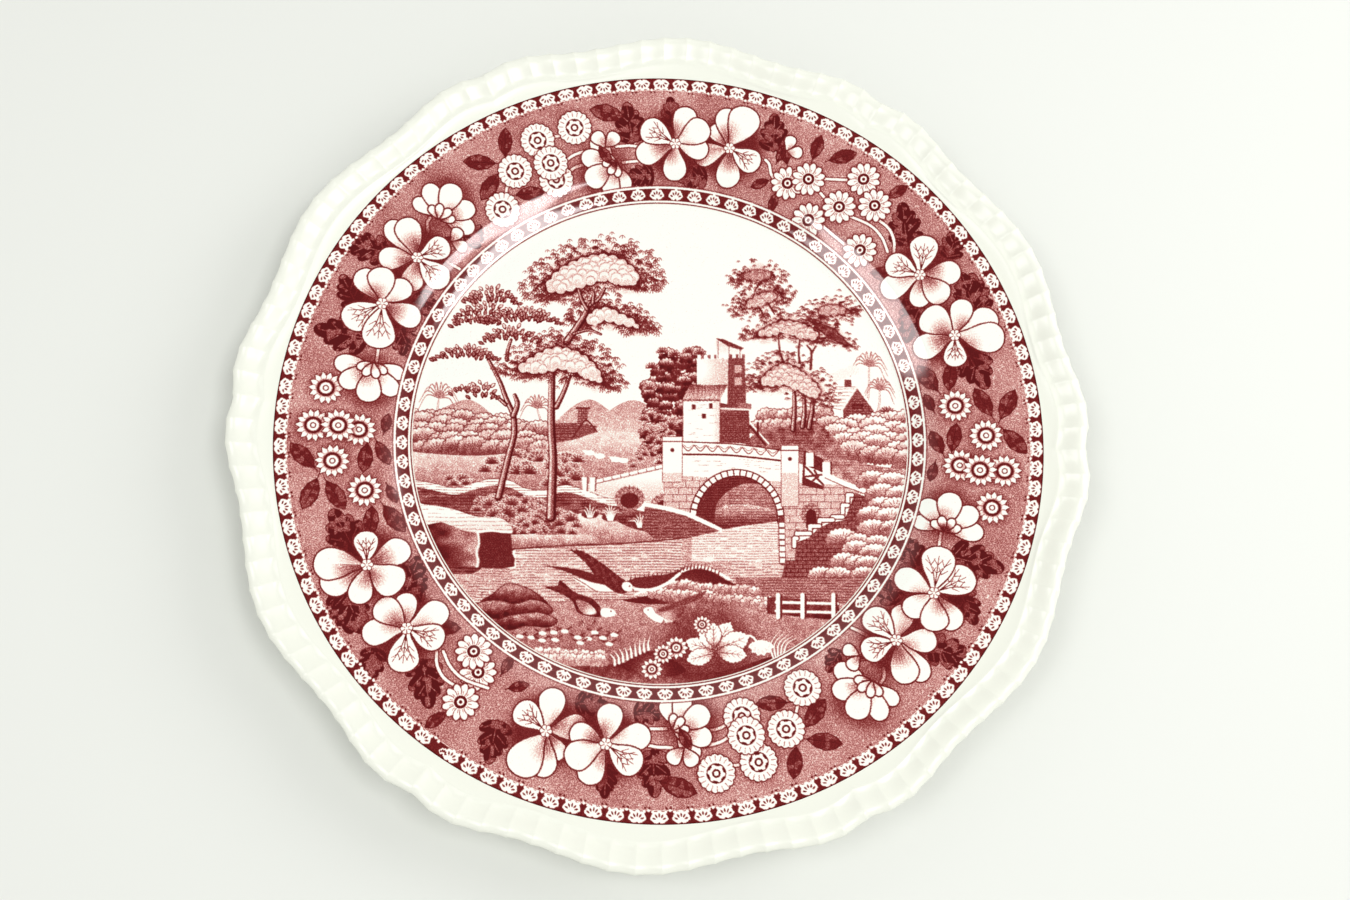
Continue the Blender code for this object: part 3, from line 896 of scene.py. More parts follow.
def star_daisy(at, radius, points):
    """A daisy with pointed petals, a dark ring and a pale eye."""
    t = np.arange(2 * points) * math.pi / points
    r = np.where(np.arange(2 * points) % 2, 0.74, 1.0) * radius
    star = np.column_stack([r * np.cos(t), r * np.sin(t)]) + at
    loop(star, 0.5, 0.85)
    fill(star, 0.0)
    for angle in t[1::2]:
        u = np.array([math.cos(angle), math.sin(angle)])
        stroke([at + u * 0.6 * radius, at + u * 0.76 * radius], 0.22, 0.7)
    rows, cols, x, y = window([at], radius)
    away = np.hypot(x - at[0], y - at[1]) / radius
    part = sheet[rows, cols]
    np.maximum(part, np.exp(-(((away - 0.44) / 0.12) ** 2)), out=part)
    disc(at, 0.33 * radius, 0.0)
    ring(at, 0.15 * radius, 0.3, 0.95)


def paint_picture():
    paint_far_ground()
    paint_round_trees()
    paint_right_bank()
    paint_right_trees()
    paint_tower()
    paint_water()
    paint_left_bank()
    paint_rock_and_cave()
    paint_bridge()
    sweep([(-5, -19.4), (1.4, -20.6), (8, -22.4), (14, -25.2), (18.8, -27.6)], 1.6, 0.05)
    fill([(-5, -20), (1.4, -21.2), (8, -23), (14, -25.8), (18.8, -28), (10, -30), (-2, -30.6), (-6, -27)],
         hatched(0.6, 1.0, 0.3, 0.2))
    paint_right_clouds()
    paint_near_bank()
    paint_front_left()
    paint_birds()
    paint_fence_and_flowers()
    paint_left_trees()


def paint_left_trees():
    trunk([(-51.6, -16.8), (-50.3, -11.3), (-48.4, -3.4), (-46.6, 4), (-46.9, 10.6)], 1.9, 1.5)
    trunk([(-46.9, 10.2), (-49.5, 16.2), (-50.9, 20.2), (-53.2, 25), (-55, 28.4)], 1.3, 0.7)
    trunk([(-46.9, 9.8), (-45.6, 13.4), (-46.4, 16.4)], 1.6, 1.0)
    trunk([(-49.3, 13.4), (-51.6, 15.4), (-54, 17)], 0.9, 0.6)
    trunk([(-48.9, 28), (-48.7, 31), (-47.6, 34.6)], 0.9, 0.6)
    for spray in (
        (-61.8, -46, 46.6, 51.4, 4, 2.2),
        (-64, -48, 42.4, 46.2, 3, 2.2),
        (-66, -53, 39.6, 42.6, 3, 2.1),
        (-57, -32.5, 40.2, 44.4, 4, 2.2),
        (-56.5, -39, 34.2, 38.4, 4, 2.1),
        (-71.5, -52.5, 28.4, 32.2, 4, 2.1),
        (-66, -59, 17.4, 18.8, 2, 2.0),
        (-60, -53, 15.8, 20.6, 3, 2.2),
    ):
        leaf_spray(*spray)
    canopy(
        [(-36.4, 51.6), (-33, 56.6), (-26.6, 60.4), (-18.7, 62.2), (-12.6, 60.7), (-8.1, 56.8),
         (-7.6, 53.4), (-12.6, 52.9), (-17.7, 54.4), (-22.2, 53), (-27.3, 51.4), (-32.4, 50.2)],
        8.2, 620, 0.12, 0.85,
    )  # fmt: skip
    canopy(
        [(-23.7, 40.9), (-21.5, 43.6), (-17.1, 44.8), (-13.2, 43), (-9.4, 41.2), (-7.3, 38.8),
         (-12.6, 39.8), (-17.7, 41), (-21.2, 40)],
        6.6, 330, 0.1, 0.8,
    )  # fmt: skip
    for line, wide, thin in (
        ([(-29.9, 33.9), (-27, 38.2), (-24, 43), (-22.4, 47)], 2.2, 1.2),
        ([(-23.4, 44.6), (-25.2, 48), (-26, 51)], 1.0, 0.7),
        ([(-22.4, 46), (-19.6, 48), (-17.8, 51.4)], 1.0, 0.6),
        ([(-21.6, 46.5), (-21.2, 50)], 0.9, 0.6),
        ([(-27.6, 36.6), (-23, 37.8), (-19, 36.4)], 0.8, 0.4),
    ):
        trunk(line, wide, thin)
    trunk([(-34.9, -23.4), (-34.6, -13.9), (-34.3, -4), (-34.8, 6), (-34.7, 15), (-34.5, 25)], 2.7, 1.7)
    trunk([(-33.2, 12.6), (-30.8, 17.6), (-29, 22.6)], 1.3, 0.9)
    canopy(
        [(-45.4, 25), (-40.6, 28.8), (-35.5, 31.4), (-31.1, 31.7), (-26, 30), (-22.2, 27.2), (-19, 22.6),
         (-20, 20.8), (-24.1, 22.8), (-28.5, 24.6), (-32.4, 25.2), (-38.1, 24)],
        7.4, 560, 0.12, 0.8,
    )  # fmt: skip


# ---- the border ----


PETAL = [(0.06, 0.03), (0.25, 0.13), (0.5, 0.26), (0.75, 0.31), (0.93, 0.2), (1.0, 0.02), (0.95, -0.18),
         (0.76, -0.3), (0.5, -0.27), (0.25, -0.14)]  # fmt: skip


def petal(at, turn, length, width=1.0, veined=False, blush=0.5):
    """An egg-shaped petal, either white with dark branching veins or flushed from its narrow end."""
    edge = curve(place(np.array(PETAL) * (1, width), at, turn, length), closed=True, steps=4)

    def ink(x, y):
        away = np.hypot(x - at[0], y - at[1]) / length
        angle = np.arctan2(y - at[1], x - at[0])
        streak = 0.7 + 0.45 * (np.sin(angle * 45 + turn) > 0.0)
        side = 0.7 + 0.5 * np.sin(2.5 * (angle - math.radians(turn)) + turn)
        flush = blush * streak * side * (1 - ease((away - 0.2) / 0.55))
        return np.clip(flush + 0.1 * ease((0.9 - away) / 0.5) * side, 0, 1)

    loop(edge, 0.7, 0.8)
    fill(edge, 0.0 if veined else ink)
    loop(edge, 0.24, 0.97)
    if not veined:
        return
    for side in (-13, 0, 13):
        tip = at + polar(turn + 1.3 * side, 0.8 * length)
        knee = at + polar(turn + 0.7 * side, 0.45 * length)
        stroke([at + polar(turn, 0.14 * length), knee, tip], 0.34, 0.97, 0.18)
        for t in (0.42, 0.6):
            root = at + polar(turn + side, t * length)
            for fork in (-38, 38):
                stroke([root, root + polar(turn + side + fork, 0.16 * length)], 0.24, 0.93, 0.14)


def blossom(at, turn, petals):
    """An open flower: each petal has an angle, a length, and a width or "veined"."""
    shadow(at, 11.5, 0.8)
    for angle, length, kind in petals:
        veined = kind == "veined"
        petal(at, turn + angle, length, 1.12 if veined else kind, veined)
    for size, ink in ((0.85, 0.9), (0.62, 0.0)):
        for a in range(6):
            disc(at + polar(60 * a + turn, 1.15), size, ink)
    disc(at, 1.1, 0.0)
    for a in range(6):
        stroke([at + polar(60 * a + turn + 30, 0.5), at + polar(60 * a + turn + 30, 1.4)], 0.24, 0.85)


def side_blossom(at, turn, radius):
    """A flower seen from its side, with its calyx towards the stem."""
    shadow(at + polar(turn, 0.5 * radius), 0.9 * radius, 0.5)
    for angle, length, width in ((84, 0.95, 0.8), (-82, 1.1, 0.85), (46, 1.1, 0.85), (-44, 1.12, 0.9),
        (2, 1.15, 1.0)):
        petal(at, turn + angle, radius * length, width, False, 0.45)
    for angle in (-58, 58, -22, 22):
        petal(at - polar(turn, 1.0), turn + angle, 0.5 * radius, 0.8, False, 0.9)


def rosette(at, kind, radius, turn):
    """The small round flowers: "scalloped", "rounded" or "pointed"."""
    shadow(at, radius, 0.5)
    if kind == "pointed":
        star_daisy(at, radius, 14)
        return
    if kind == "scalloped":
        edge = scalloped(ellipse(at, 1.86 * radius, 1.86 * radius), 1.9, 0.45)
        loop(edge, 0.7, 0.88)
        fill(edge, 0.0)
        for a in range(0, 360, 20):
            stroke([at + polar(a + turn, 0.68 * radius), at + polar(a + turn, 0.92 * radius)], 0.24, 0.6)
        ring(at, 0.46 * radius, 0.8, 0.95)
        for a in range(0, 360, 60):
            disc(at + polar(a + turn, 0.37 * radius), 0.6, 0.0)
        disc(at, 0.36 * radius, 0.0)
        ring(at, 0.18 * radius, 0.55, 0.95)
        return
    turns = [30 * a + turn for a in range(12)]
    outlines = [place(ellipse((0.7 * radius, 0), 0.72 * radius, 0.43 * radius), at, u) for u in turns]
    for outline in outlines:
        loop(outline, 0.6, 0.85)
    for u, outline in zip(turns, outlines):
        fill(outline, 0.0)
        loop(outline, 0.22, 0.8)
        stroke([at + polar(u, 0.4 * radius), at + polar(u, 0.62 * radius)], 0.3, 0.45)
    disc(at, 0.42 * radius, 0.0)
    ring(at, 0.29 * radius, 0.85, 0.95)
    disc(at, 0.1 * radius, 0.95)


def oak_leaf(at, turn, length, ink=0.86):
    """A dark leaf with round-ended lobes, each with a paler middle."""
    at = np.asarray(at, float)
    lobes = [((0.74, 0), 0, 0.44, 0.27)]
    for root, lean, reach in ((0.05, 62, 0.4), (0.27, 50, 0.42), (0.47, 40, 0.34)):
        for side in (-1, 1):
            middle = np.array((root, 0)) + polar(side * lean, 0.5 * reach)
            lobes.append((middle, side * lean, reach, 0.21))
    lobes.append(((0.3, 0), 0, 0.62, 0.2))
    outlines = []
    for middle, lean, long, wide in lobes:
        outlines.append(place(ellipse(middle, long, wide, lean), at, turn, length))
    for outline in outlines:
        loop(outline, 0.5, 0.97)
    for outline in outlines:
        fill(outline, lambda x, y: ink + 0.12 - 0.34 * (cloudy(x, y, 1.5, turn) > 0.58))
    for middle, lean, long, _ in lobes:
        tip = np.array(middle) + polar(lean, 0.3 * long)
        stroke(place([np.array(middle) - polar(lean, 0.3 * long), tip], at, turn, length), 0.3, 0.55, 0.16)


def ovate_leaf(at, turn, length, ink=0.88):
    at = np.asarray(at, float)
    at = at - polar(turn, 0.5 * length)
    shape = place(np.array(LEAF) * (1.05, 0.95), at, turn, length)
    fill(shape, lambda x, y: ink - 0.22 * (cloudy(x, y, 1.2, turn) > 0.6))
    loop(shape, 0.3, 0.95)
    stroke([at - polar(turn, 0.15 * length), at + polar(turn, 0.9 * length)], 0.3, 0.98, 0.16)


def stem(points):
    line = curve(points)
    stroke(line, 1.5, 0.85)
    stroke(line, 0.85, 0.0)


def bud(at, turn, radius):
    at = np.asarray(at, float)
    ovate_leaf(at - polar(turn, radius), turn + 35, 1.6 * radius)
    for side in (-38, 38):
        petal(at - polar(turn, 0.4 * radius), turn + side, 1.5 * radius, 1.2, False, 0.3)


def ring_shape(inner, outer):
    t = np.linspace(0, math.tau, 361)
    circle = np.column_stack([np.cos(t), np.sin(t)])
    return np.vstack([circle * outer, circle[::-1] * inner])


def paint_border():
    fill(ring_shape(84.0, 115.6), lambda x, y: 0.45 + 0.14 * (cloudy(x, y, 7.0, 3.0) - 0.5))
    rosette(polar(234.1, 93.5), "rounded", 5.2, 0)
    for start in (0, 360 - REPEAT):
        paint_repeat(start)


def paint_repeat(start):
    """One repeat of the border, a little over half a turn. The first stops where the second starts."""
    last = 239 if start == 0 else 360

    def spots(table):
        """Each row that is left of the cut, with its angle and radius turned into a point of the plate."""
        return [(polar(row[0] + start, row[1]), *row[2:]) for row in table if row[0] < last]

    for at, turn, length in spots((
        (203.9, 100.8, 122, 17), (208.3, 109, -75, 14), (209, 90, -60, 13), (163.1, 97.5, 172, 17),
        (158.3, 104, 118, 12), (147.3, 105.5, 168, 14), (158.1, 90.8, -65, 13), (150, 90, -60, 10),
        (135.6, 87.6, 65, 8), (95.8, 98.4, 100, 14), (88.3, 103.7, 95, 10), (69, 102.2, 88, 13),
        (92, 88, 190, 10), (80.5, 88.5, 185, 10), (225.4, 101.5, 282, 15), (219.2, 109.4, 257, 11),
        (208.8, 108.5, 295, 14), (214.1, 93.7, 75, 13),
    )):  # fmt: skip
        oak_leaf(at, turn + start, length)
    for at, turn, length in spots((
        (185.5, 110.8, 136, 10), (191.6, 109.6, 250, 10), (192.5, 102.5, 305, 10), (186.1, 92.5, 265, 9),
        (185.2, 87.4, 300, 8), (179.1, 86.5, 80, 6), (198.8, 94.1, 90, 9), (199.2, 87.4, 310, 10),
        (194, 86.2, 300, 6), (118.4, 109.1, 90, 9), (123.9, 107.2, 180, 10), (124.8, 99, 240, 10),
        (118.8, 90.9, 10, 9), (99.7, 109, 170, 11), (69.1, 90.7, 200, 6), (65, 87, 250, 6),
        (254.2, 103.2, 287, 8), (249.4, 108.9, 257, 8), (244.8, 110.3, 202, 9), (233.6, 111.5, 217, 7),
        (223.5, 90.5, 357, 9),
    )):  # fmt: skip
        ovate_leaf(at, turn + start, length)
    for points in (
        ((99.1, 97.7), (96.6, 97.5), (94, 96.8)),
        ((109.5, 96.5), (107.6, 97.6), (105.2, 98), (102.9, 97.8)),
        ((109.1, 93), (107.6, 93.7), (104, 93.7)),
        ((123.2, 94), (121.6, 97)),
        ((98.2, 92.2), (94.7, 92.3)),
        ((103.7, 104), (102.5, 102)),
        ((109.7, 105.1), (108, 104.9)),
        ((69.8, 98.6), (68.8, 97.6), (67.6, 94.6), (65.6, 93)),
        ((61.5, 98.5), (57.9, 101.3), (54.6, 104.6)),
        ((59.5, 97.6), (55.6, 95.6)),
        ((50, 95.6), (45.6, 97.6), (42.3, 97.3), (39.5, 95.5)),
        ((45.6, 100.6), (42.9, 101), (40.5, 99.6), (38.7, 97)),
        ((53.8, 88), (49.8, 87.6), (46, 87.6)),
        ((137.3, 102.5), (138.3, 102), (139.4, 100)),
        ((164.2, 93.4), (167.2, 92.6)),
        ((141.6, 90.1), (141.2, 87.4), (140.7, 84.9)),
    ):
        shift = REPEAT if points[0][0] < 70 else 0
        if points[0][0] + shift < last:
            stem([polar(angle + start + shift, radius) for angle, radius in points])
    for kind, table in (
        ("scalloped", ((106, 106.3), (113, 105.8), (112.5, 91.7), (112.3, 97.4), (119.2, 99.4),
                       (125.3, 90.6))),
        ("pointed", ((173.7, 105.6), (180.7, 94.4), (180.3, 108), (180.1, 100.6), (186.5, 102.3),
                     (192.6, 93.8))),
        ("rounded", ((251.3, 94.2), (248, 98.5), (243.7, 87), (239.5, 108), (240, 96), (230.9, 89.5),
                     (234.9, 103.4))),
    ):
        for i, (at,) in enumerate(spots(table)):
            rosette(at, kind, 5.5 if kind == "scalloped" else 5.2, start + 17 * i)
    for at, turn, radius in spots(((99.9, 92.4, 215, 10), (135.9, 100.6, 65, 10.5),
        (167.7, 93.5, 262, 10.5))):
        side_blossom(at, turn + start, radius)
    for at, turn, radius in spots(((101, 99.4, 90, 4.2), (137.1, 91.8, 20, 3.6), (253.6, 104.9, 217, 3.6))):
        bud(at, turn + start, radius)
    for at, turn, petals in spots((
        (77.1, 99, 0, ((127, 9.5, 1), (195, 12.4, 1), (96, 13.3, 0.9), (-93, 12.9, 1), (62, 15, 1.15),
                       (-33, 11.6, "veined"))),
        (87.6, 98, 0, ((200, 13.6, 0.95), (-91, 12, 1.05), (-14, 11.2, 1), (69, 12.8, 1), (30, 12.6, 1.1),
                       (152, 12.6, "veined"))),
        (219.4, 99, 187, ((203, 13.3, 1), (-92, 10.8, 1), (2, 12.9, 1), (-48, 12, 1.1),
                          (154, 11.8, "veined"), (81, 13.2, "veined"))),
        (206.1, 99.5, 187, ((25, 14.6, 1), (74, 12.2, 0.95), (201, 13.6, 1), (-7, 15.4, 1.05),
                            (140, 12.6, 1.3), (-91, 10.5, "veined"))),
        (144.6, 97, 0, ((186, 12, 1), (-100, 11.4, 1), (131, 14.6, 0.8), (109, 13.4, 1),
                        (28, 11.2, "veined"), (-42, 12.4, "veined"))),
        (155.7, 98, 0, ((126, 12.7, 1), (42, 11, 1.05), (94, 11.8, 1.15), (-23, 12.7, 1),
                        (-147, 13.6, "veined"), (-94, 14.8, "veined"))),
    )):  # fmt: skip
        blossom(at, turn + start, petals)


# ---- the two rings of beads ----


def shell(at, turn, size):
    """A white scallop shell: lobes fan out from a dark hinge, with a dark rib in each."""
    fill(place(ellipse((0, -0.02), 1.95, 1.4), at, turn, size), 0.0)
    for lobe in ((-0.8, -0.12), (-0.5, 0.4), (0, 0.58), (0.5, 0.4), (0.8, -0.12)):
        fill(place(ellipse(lobe, 0.5, 0.5), at, turn, size), 0.0)
    for angle in (22, 57, 90, 123, 158):
        along = polar(angle, 1)
        start, end = along * (0.46, 0.42) - (0, 0.36), along * (0.8, 0.78) - (0, 0.36)
        stroke(place([start, (start + end) / 2], at, turn, size), 0.22, 1.0, 0.5)
        stroke(place([(start + end) / 2, end], at, turn, size), 0.5, 1.0, 0.3)
    disc(at + polar(turn - 90, 0.66 * size), 0.32, 0.95)


def paint_edge_ring():
    """The outer beads. A small one fills the gap where the ring's two ends meet."""
    fill(ring_shape(115.75, 119.6), 0.88)
    circle = np.array([polar(a, 1) for a in np.linspace(0, 360, 721)])
    for i in range(EDGE_BEADS):
        angle = 238.5 + i * 360 / (EDGE_BEADS + 0.55)
        gap = angle + 180 / EDGE_BEADS
        shell(polar(angle, 117.5), angle + 90, 2.5)
        for shift, radius in ((-0.62, 116.0), (0, 115.6), (0.62, 116.0)):
            disc(polar(gap + shift, radius), 0.42, 0.0)
        for shift in (-0.5, 0.1):
            disc(polar(gap + shift, 114.9), 0.32, 0.95)
    shell(polar(237.35, 117.7), 237.35 + 90, 1.4)
    stroke(circle * 119.4, 0.5, 1.0)


def paint_bead_ring():
    """The inner beads. The two where the ring's ends meet stand a fifth of a space closer."""
    circle = np.array([polar(a, 1) for a in np.linspace(0, 360, 721)])
    fill(ring_shape(78.75, 84.2), 0.02)
    fill(ring_shape(80.0, 83.6), 0.88)
    for i in range(INNER_BEADS):
        angle = 108.0 + i * 360 / (INNER_BEADS - 0.2)
        shell(polar(angle, 81.8), angle - 90, 2.25)
        disc(polar(angle, 84.0), 0.6, 0.0)
    stroke(circle * 84.45, 0.3, 0.8)
    stroke(circle * 83.95, 0.5, 0.0)
    stroke(circle * 79.2, 0.32, 1.0)


def settle_picture():
    """Shifts the picture down and tilts it very slightly, to sit centrally in the well."""
    block_half = 85  # the square of the sheet that holds the whole picture
    first = round((SHEET_HALF - block_half) / SHEET_STEP)
    across = np.arange(first, len(sheet) - first) * SHEET_STEP - SHEET_HALF
    x, y = across[None, :], across[:, None]
    shift_x, shift_y = 0.33, 3.85
    lean, tilt, squeeze = 0.0027, 0.01, 0.996
    spread = 1 + 0.00009 * x + 0.00058 * y
    moved = ink_at((x + lean * y + shift_x) / spread, (squeeze * y - tilt * x + shift_y) / spread)
    sheet[first : len(sheet) - first, first : len(sheet) - first] = moved


def draw_prints():
    paint_picture()
    settle_picture()
    paint_border()
    paint_edge_ring()
    paint_bead_ring()
    sheet[:] += 0.1 * np.sin(math.pi * np.clip((sheet - 0.25) / 0.75, -0.33, 1))


# ---- surfaces ----


def top_height(radius):
    """The glaze's height from the centre out to the edge of the prints."""
    u = np.clip((radius - VERGE_START) / (VERGE_END - VERGE_START), 0, 1)
    run = VERGE_END - VERGE_START
    verge = (VERGE_HEIGHT - WELL_HEIGHT) * (3 * u**2 - 2 * u**3) + run * FLANGE_SLOPE * (u**3 - u**2)
    return WELL_HEIGHT + verge + FLANGE_SLOPE * np.maximum(radius - VERGE_END, 0)


def edge_pull(angle_deg):
    """How far the edge is drawn in: six broad lobes, and between them brackets with a cusp."""
    away = np.abs((angle_deg - FIRST_LOBE_DEG + HALF_REPEAT_DEG) % (2 * HALF_REPEAT_DEG) - HALF_REPEAT_DEG)
    past_trough = (away - TROUGH_DEG) / (BRACKET_CROWN_DEG - TROUGH_DEG)
    past_crown = np.maximum(away - BRACKET_CROWN_DEG, 0) / (HALF_REPEAT_DEG - BRACKET_CROWN_DEG)
    lobe = LOBE_DEPTH / 2 * (1 - np.cos(math.pi * away / TROUGH_DEG))
    bracket = LOBE_DEPTH / 2 * (1 + np.cos(math.pi * past_trough))
    cusp = CUSP_DEPTH * past_crown**1.6
    return np.where(away <= TROUGH_DEG, lobe, np.where(away <= BRACKET_CROWN_DEG, bracket, cusp))


def new_surface(name, points, wrap, flat_ends=False):
    """A mesh from a grid of points in millimetres, with a flat face over the first and last row if asked."""
    rows, cols = points.shape[:2]
    index = np.arange(rows * cols).reshape(rows, cols)
    if wrap:
        index = np.column_stack([index, index[:, :1]])
    quads = np.stack([index[:-1, :-1], index[1:, :-1], index[1:, 1:], index[:-1, 1:]], axis=-1).reshape(-1)
    loops = [quads]
    sizes = [np.full(len(quads) // 4, 4)]
    if flat_ends:
        loops += [index[0, :cols], index[-1, :cols][::-1]]
        sizes += [[cols], [cols]]
    loops, sizes = np.concatenate(loops), np.concatenate(sizes)
    mesh = bpy.data.meshes.new(name)
    mesh.vertices.add(rows * cols)
    mesh.vertices.foreach_set("co", (points * MM).astype(np.float32).ravel())
    mesh.loops.add(len(loops))
    mesh.loops.foreach_set("vertex_index", loops.astype(np.int32))
    mesh.polygons.add(len(sizes))
    mesh.polygons.foreach_set("loop_start", (np.cumsum(sizes) - sizes).astype(np.int32))
    mesh.update(calc_edges=True)
    mesh.shade_smooth()
    obj = bpy.data.objects.new(name, mesh)
    bpy.context.scene.collection.objects.link(obj)
    return obj


def ink_at(x, y):
    """The sheet's ink at points, read between its samples."""
    u, v = (x + SHEET_HALF) / SHEET_STEP, (y + SHEET_HALF) / SHEET_STEP
    i, j = np.floor(u).astype(int), np.floor(v).astype(int)
    s, t = u - i, v - j
    low = sheet[j, i] * (1 - s) + sheet[j, i + 1] * s
    high = sheet[j + 1, i] * (1 - s) + sheet[j + 1, i + 1] * s
    return low * (1 - t) + high * t


def print_surface(name, x, y, wrap, material):
    """One print: a dense surface just above the glaze that carries its ink in a vertex attribute."""
    points = np.stack([x, y, top_height(np.hypot(x, y)) + PRINT_LIFT], axis=-1)
    obj = new_surface(name, points, wrap)
    ink = obj.data.attributes.new("ink", "FLOAT", "POINT")
    ink.data.foreach_set("value", ink_at(x, y).astype(np.float32).ravel())
    obj.data.materials.append(material)
    return obj


def disc_print(name, radius, material):
    """A round print. Its square grid is bent into a disc, so that its vertices stay evenly spaced."""
    count = int(radius * math.sqrt(math.pi) / VERTEX_SPACING) | 1
    a, b = np.meshgrid(np.linspace(-1, 1, count), np.linspace(-1, 1, count))
    wide = np.abs(a) > np.abs(b)
    with np.errstate(divide="ignore", invalid="ignore"):
        angle = np.where(wide, math.pi / 4 * b / a, math.pi / 2 - math.pi / 4 * a / b)
    angle = np.nan_to_num(angle)
    reach = np.where(wide, a, b) * radius
    return print_surface(name, -reach * np.cos(angle), reach * np.sin(angle), False, material)


def ring_print(name, inner, outer, material):
    rows = int((outer - inner) / VERTEX_SPACING) + 2
    cols = int(math.tau * (inner + outer) / 2 / VERTEX_SPACING)
    radius = np.linspace(inner, outer, rows)[:, None]
    angle = np.linspace(0, math.tau, cols, endpoint=False)[None, :]
    return print_surface(name, radius * np.cos(angle), radius * np.sin(angle), True, material)


def plate_body():
    """The glazed body: top, fluted edge, rolled lip, underside and foot ring, as one closed surface."""
    cols = FLUTES * 20
    angle = np.linspace(0, 360, cols, endpoint=False)
    pull = edge_pull(angle)
    ridge = RIDGE_RADIUS - 0.94 * pull
    phase = (angle * FLUTES / 360) % 1.0
    hollow = 1 - np.abs(2 * phase - 1) ** 2.0  # 0 on a flute's ridges, 1 between them
    edge = EDGE_RADIUS - pull - FLUTE_NIP * hollow
    lip = edge - LIP_WIDTH
    rows = []

    def add(radius, height):
        rows.append((radius + 0 * angle, height + 0 * angle))

    for radius in [73.9, *np.arange(74.5, 92, 0.75), 95, 100, 105, 110, 115, 118, PRINT_RADIUS]:
        add(radius, top_height(radius))
    rim_height = top_height(PRINT_RADIUS)
    ridge_height = rim_height + FLANGE_SLOPE * (ridge - PRINT_RADIUS) + RIDGE_RISE
    for t in np.linspace(0, 1, 9)[1:-1]:
        radius = PRINT_RADIUS + (ridge - PRINT_RADIUS) * t
        add(radius, rim_height + FLANGE_SLOPE * (radius - PRINT_RADIUS) + RIDGE_RISE * t**2.2)
    for t in np.linspace(0, 1, 26)[:-1]:
        radius = ridge + (lip - ridge) * t
        height = ridge_height + (CREST_HEIGHT - ridge_height) * ease(t)
        scoop = ease(t / 0.35) * (1 - 0.2 * ease((t - 0.6) / 0.4))
        add(radius, height - FLUTE_DEPTH * hollow * scoop)
    for t in np.linspace(0, math.pi / 2, 9):
        height = EDGE_HEIGHT + (CREST_HEIGHT - EDGE_HEIGHT) * math.cos(t)
        add(lip + LIP_WIDTH * math.sin(t), height - 0.8 * FLUTE_DEPTH * hollow * math.cos(t))
    for t in np.linspace(0, math.pi / 2, 6)[1:]:
        add(edge - 2.0 * (1 - math.cos(t)), EDGE_HEIGHT - 2.4 * math.sin(t))
    for t, radius, height in ((0.75, 126, 15.6), (0.4, 118, 14.0), (0, 108, 12.1), (0, 97, 9.9),
                              (0, 88, 7.2)):
        add(radius - pull * t, height)
    for radius, height in (
        (84, 5.6), (80, 4.1), (77.6, 3.4), (76.3, 2.9), (75.9, 1.6), (FOOT_RADIUS + 0.3, 0.5),
        (FOOT_RADIUS - 0.6, 0.0),
        (72.8, 0.0), (71.7, 0.4), (71.1, 1.4), (70.6, 2.6), (69.4, 3.2), (66, 3.2),
    ):  # fmt: skip
        add(radius, height)
    radius = np.array([row[0] for row in rows])
    height = np.array([row[1] for row in rows])
    turn = np.radians(angle)
    points = np.stack([radius * np.cos(turn), radius * np.sin(turn), height], axis=-1)
    return new_surface("glazed_body", points, wrap=True, flat_ends=True)


# ---- materials ----


def principled(name, colour, roughness):
    material = bpy.data.materials.new(name)
    material.use_nodes = True
    shader = material.node_tree.nodes["Principled BSDF"]
    shader.inputs["Base Color"].default_value = (*colour, 1)
    shader.inputs["Roughness"].default_value = roughness
    return material, shader


GLAZE_COLOUR = (0.89, 0.91, 0.85)
# Painted shade: the body is the same white glaze as the prints' ground (GLAZE_COLOUR), but its colour is set
# darker so that the rim and underside come out dimmer.
RIM_GLAZE_WITH_PAINTED_SHADE = (0.82, 0.835, 0.745)
WALL_STRENGTH = 0.77
CEILING_STRENGTH = 0.12


def glaze_material():
    # The body's base colour is the darker rim colour, i.e. painted shade on the one white glaze.
    material, shader = principled("clear_glaze_over_white", RIM_GLAZE_WITH_PAINTED_SHADE, 0.3)
    shader.inputs["IOR"].default_value = 1.6
    return material


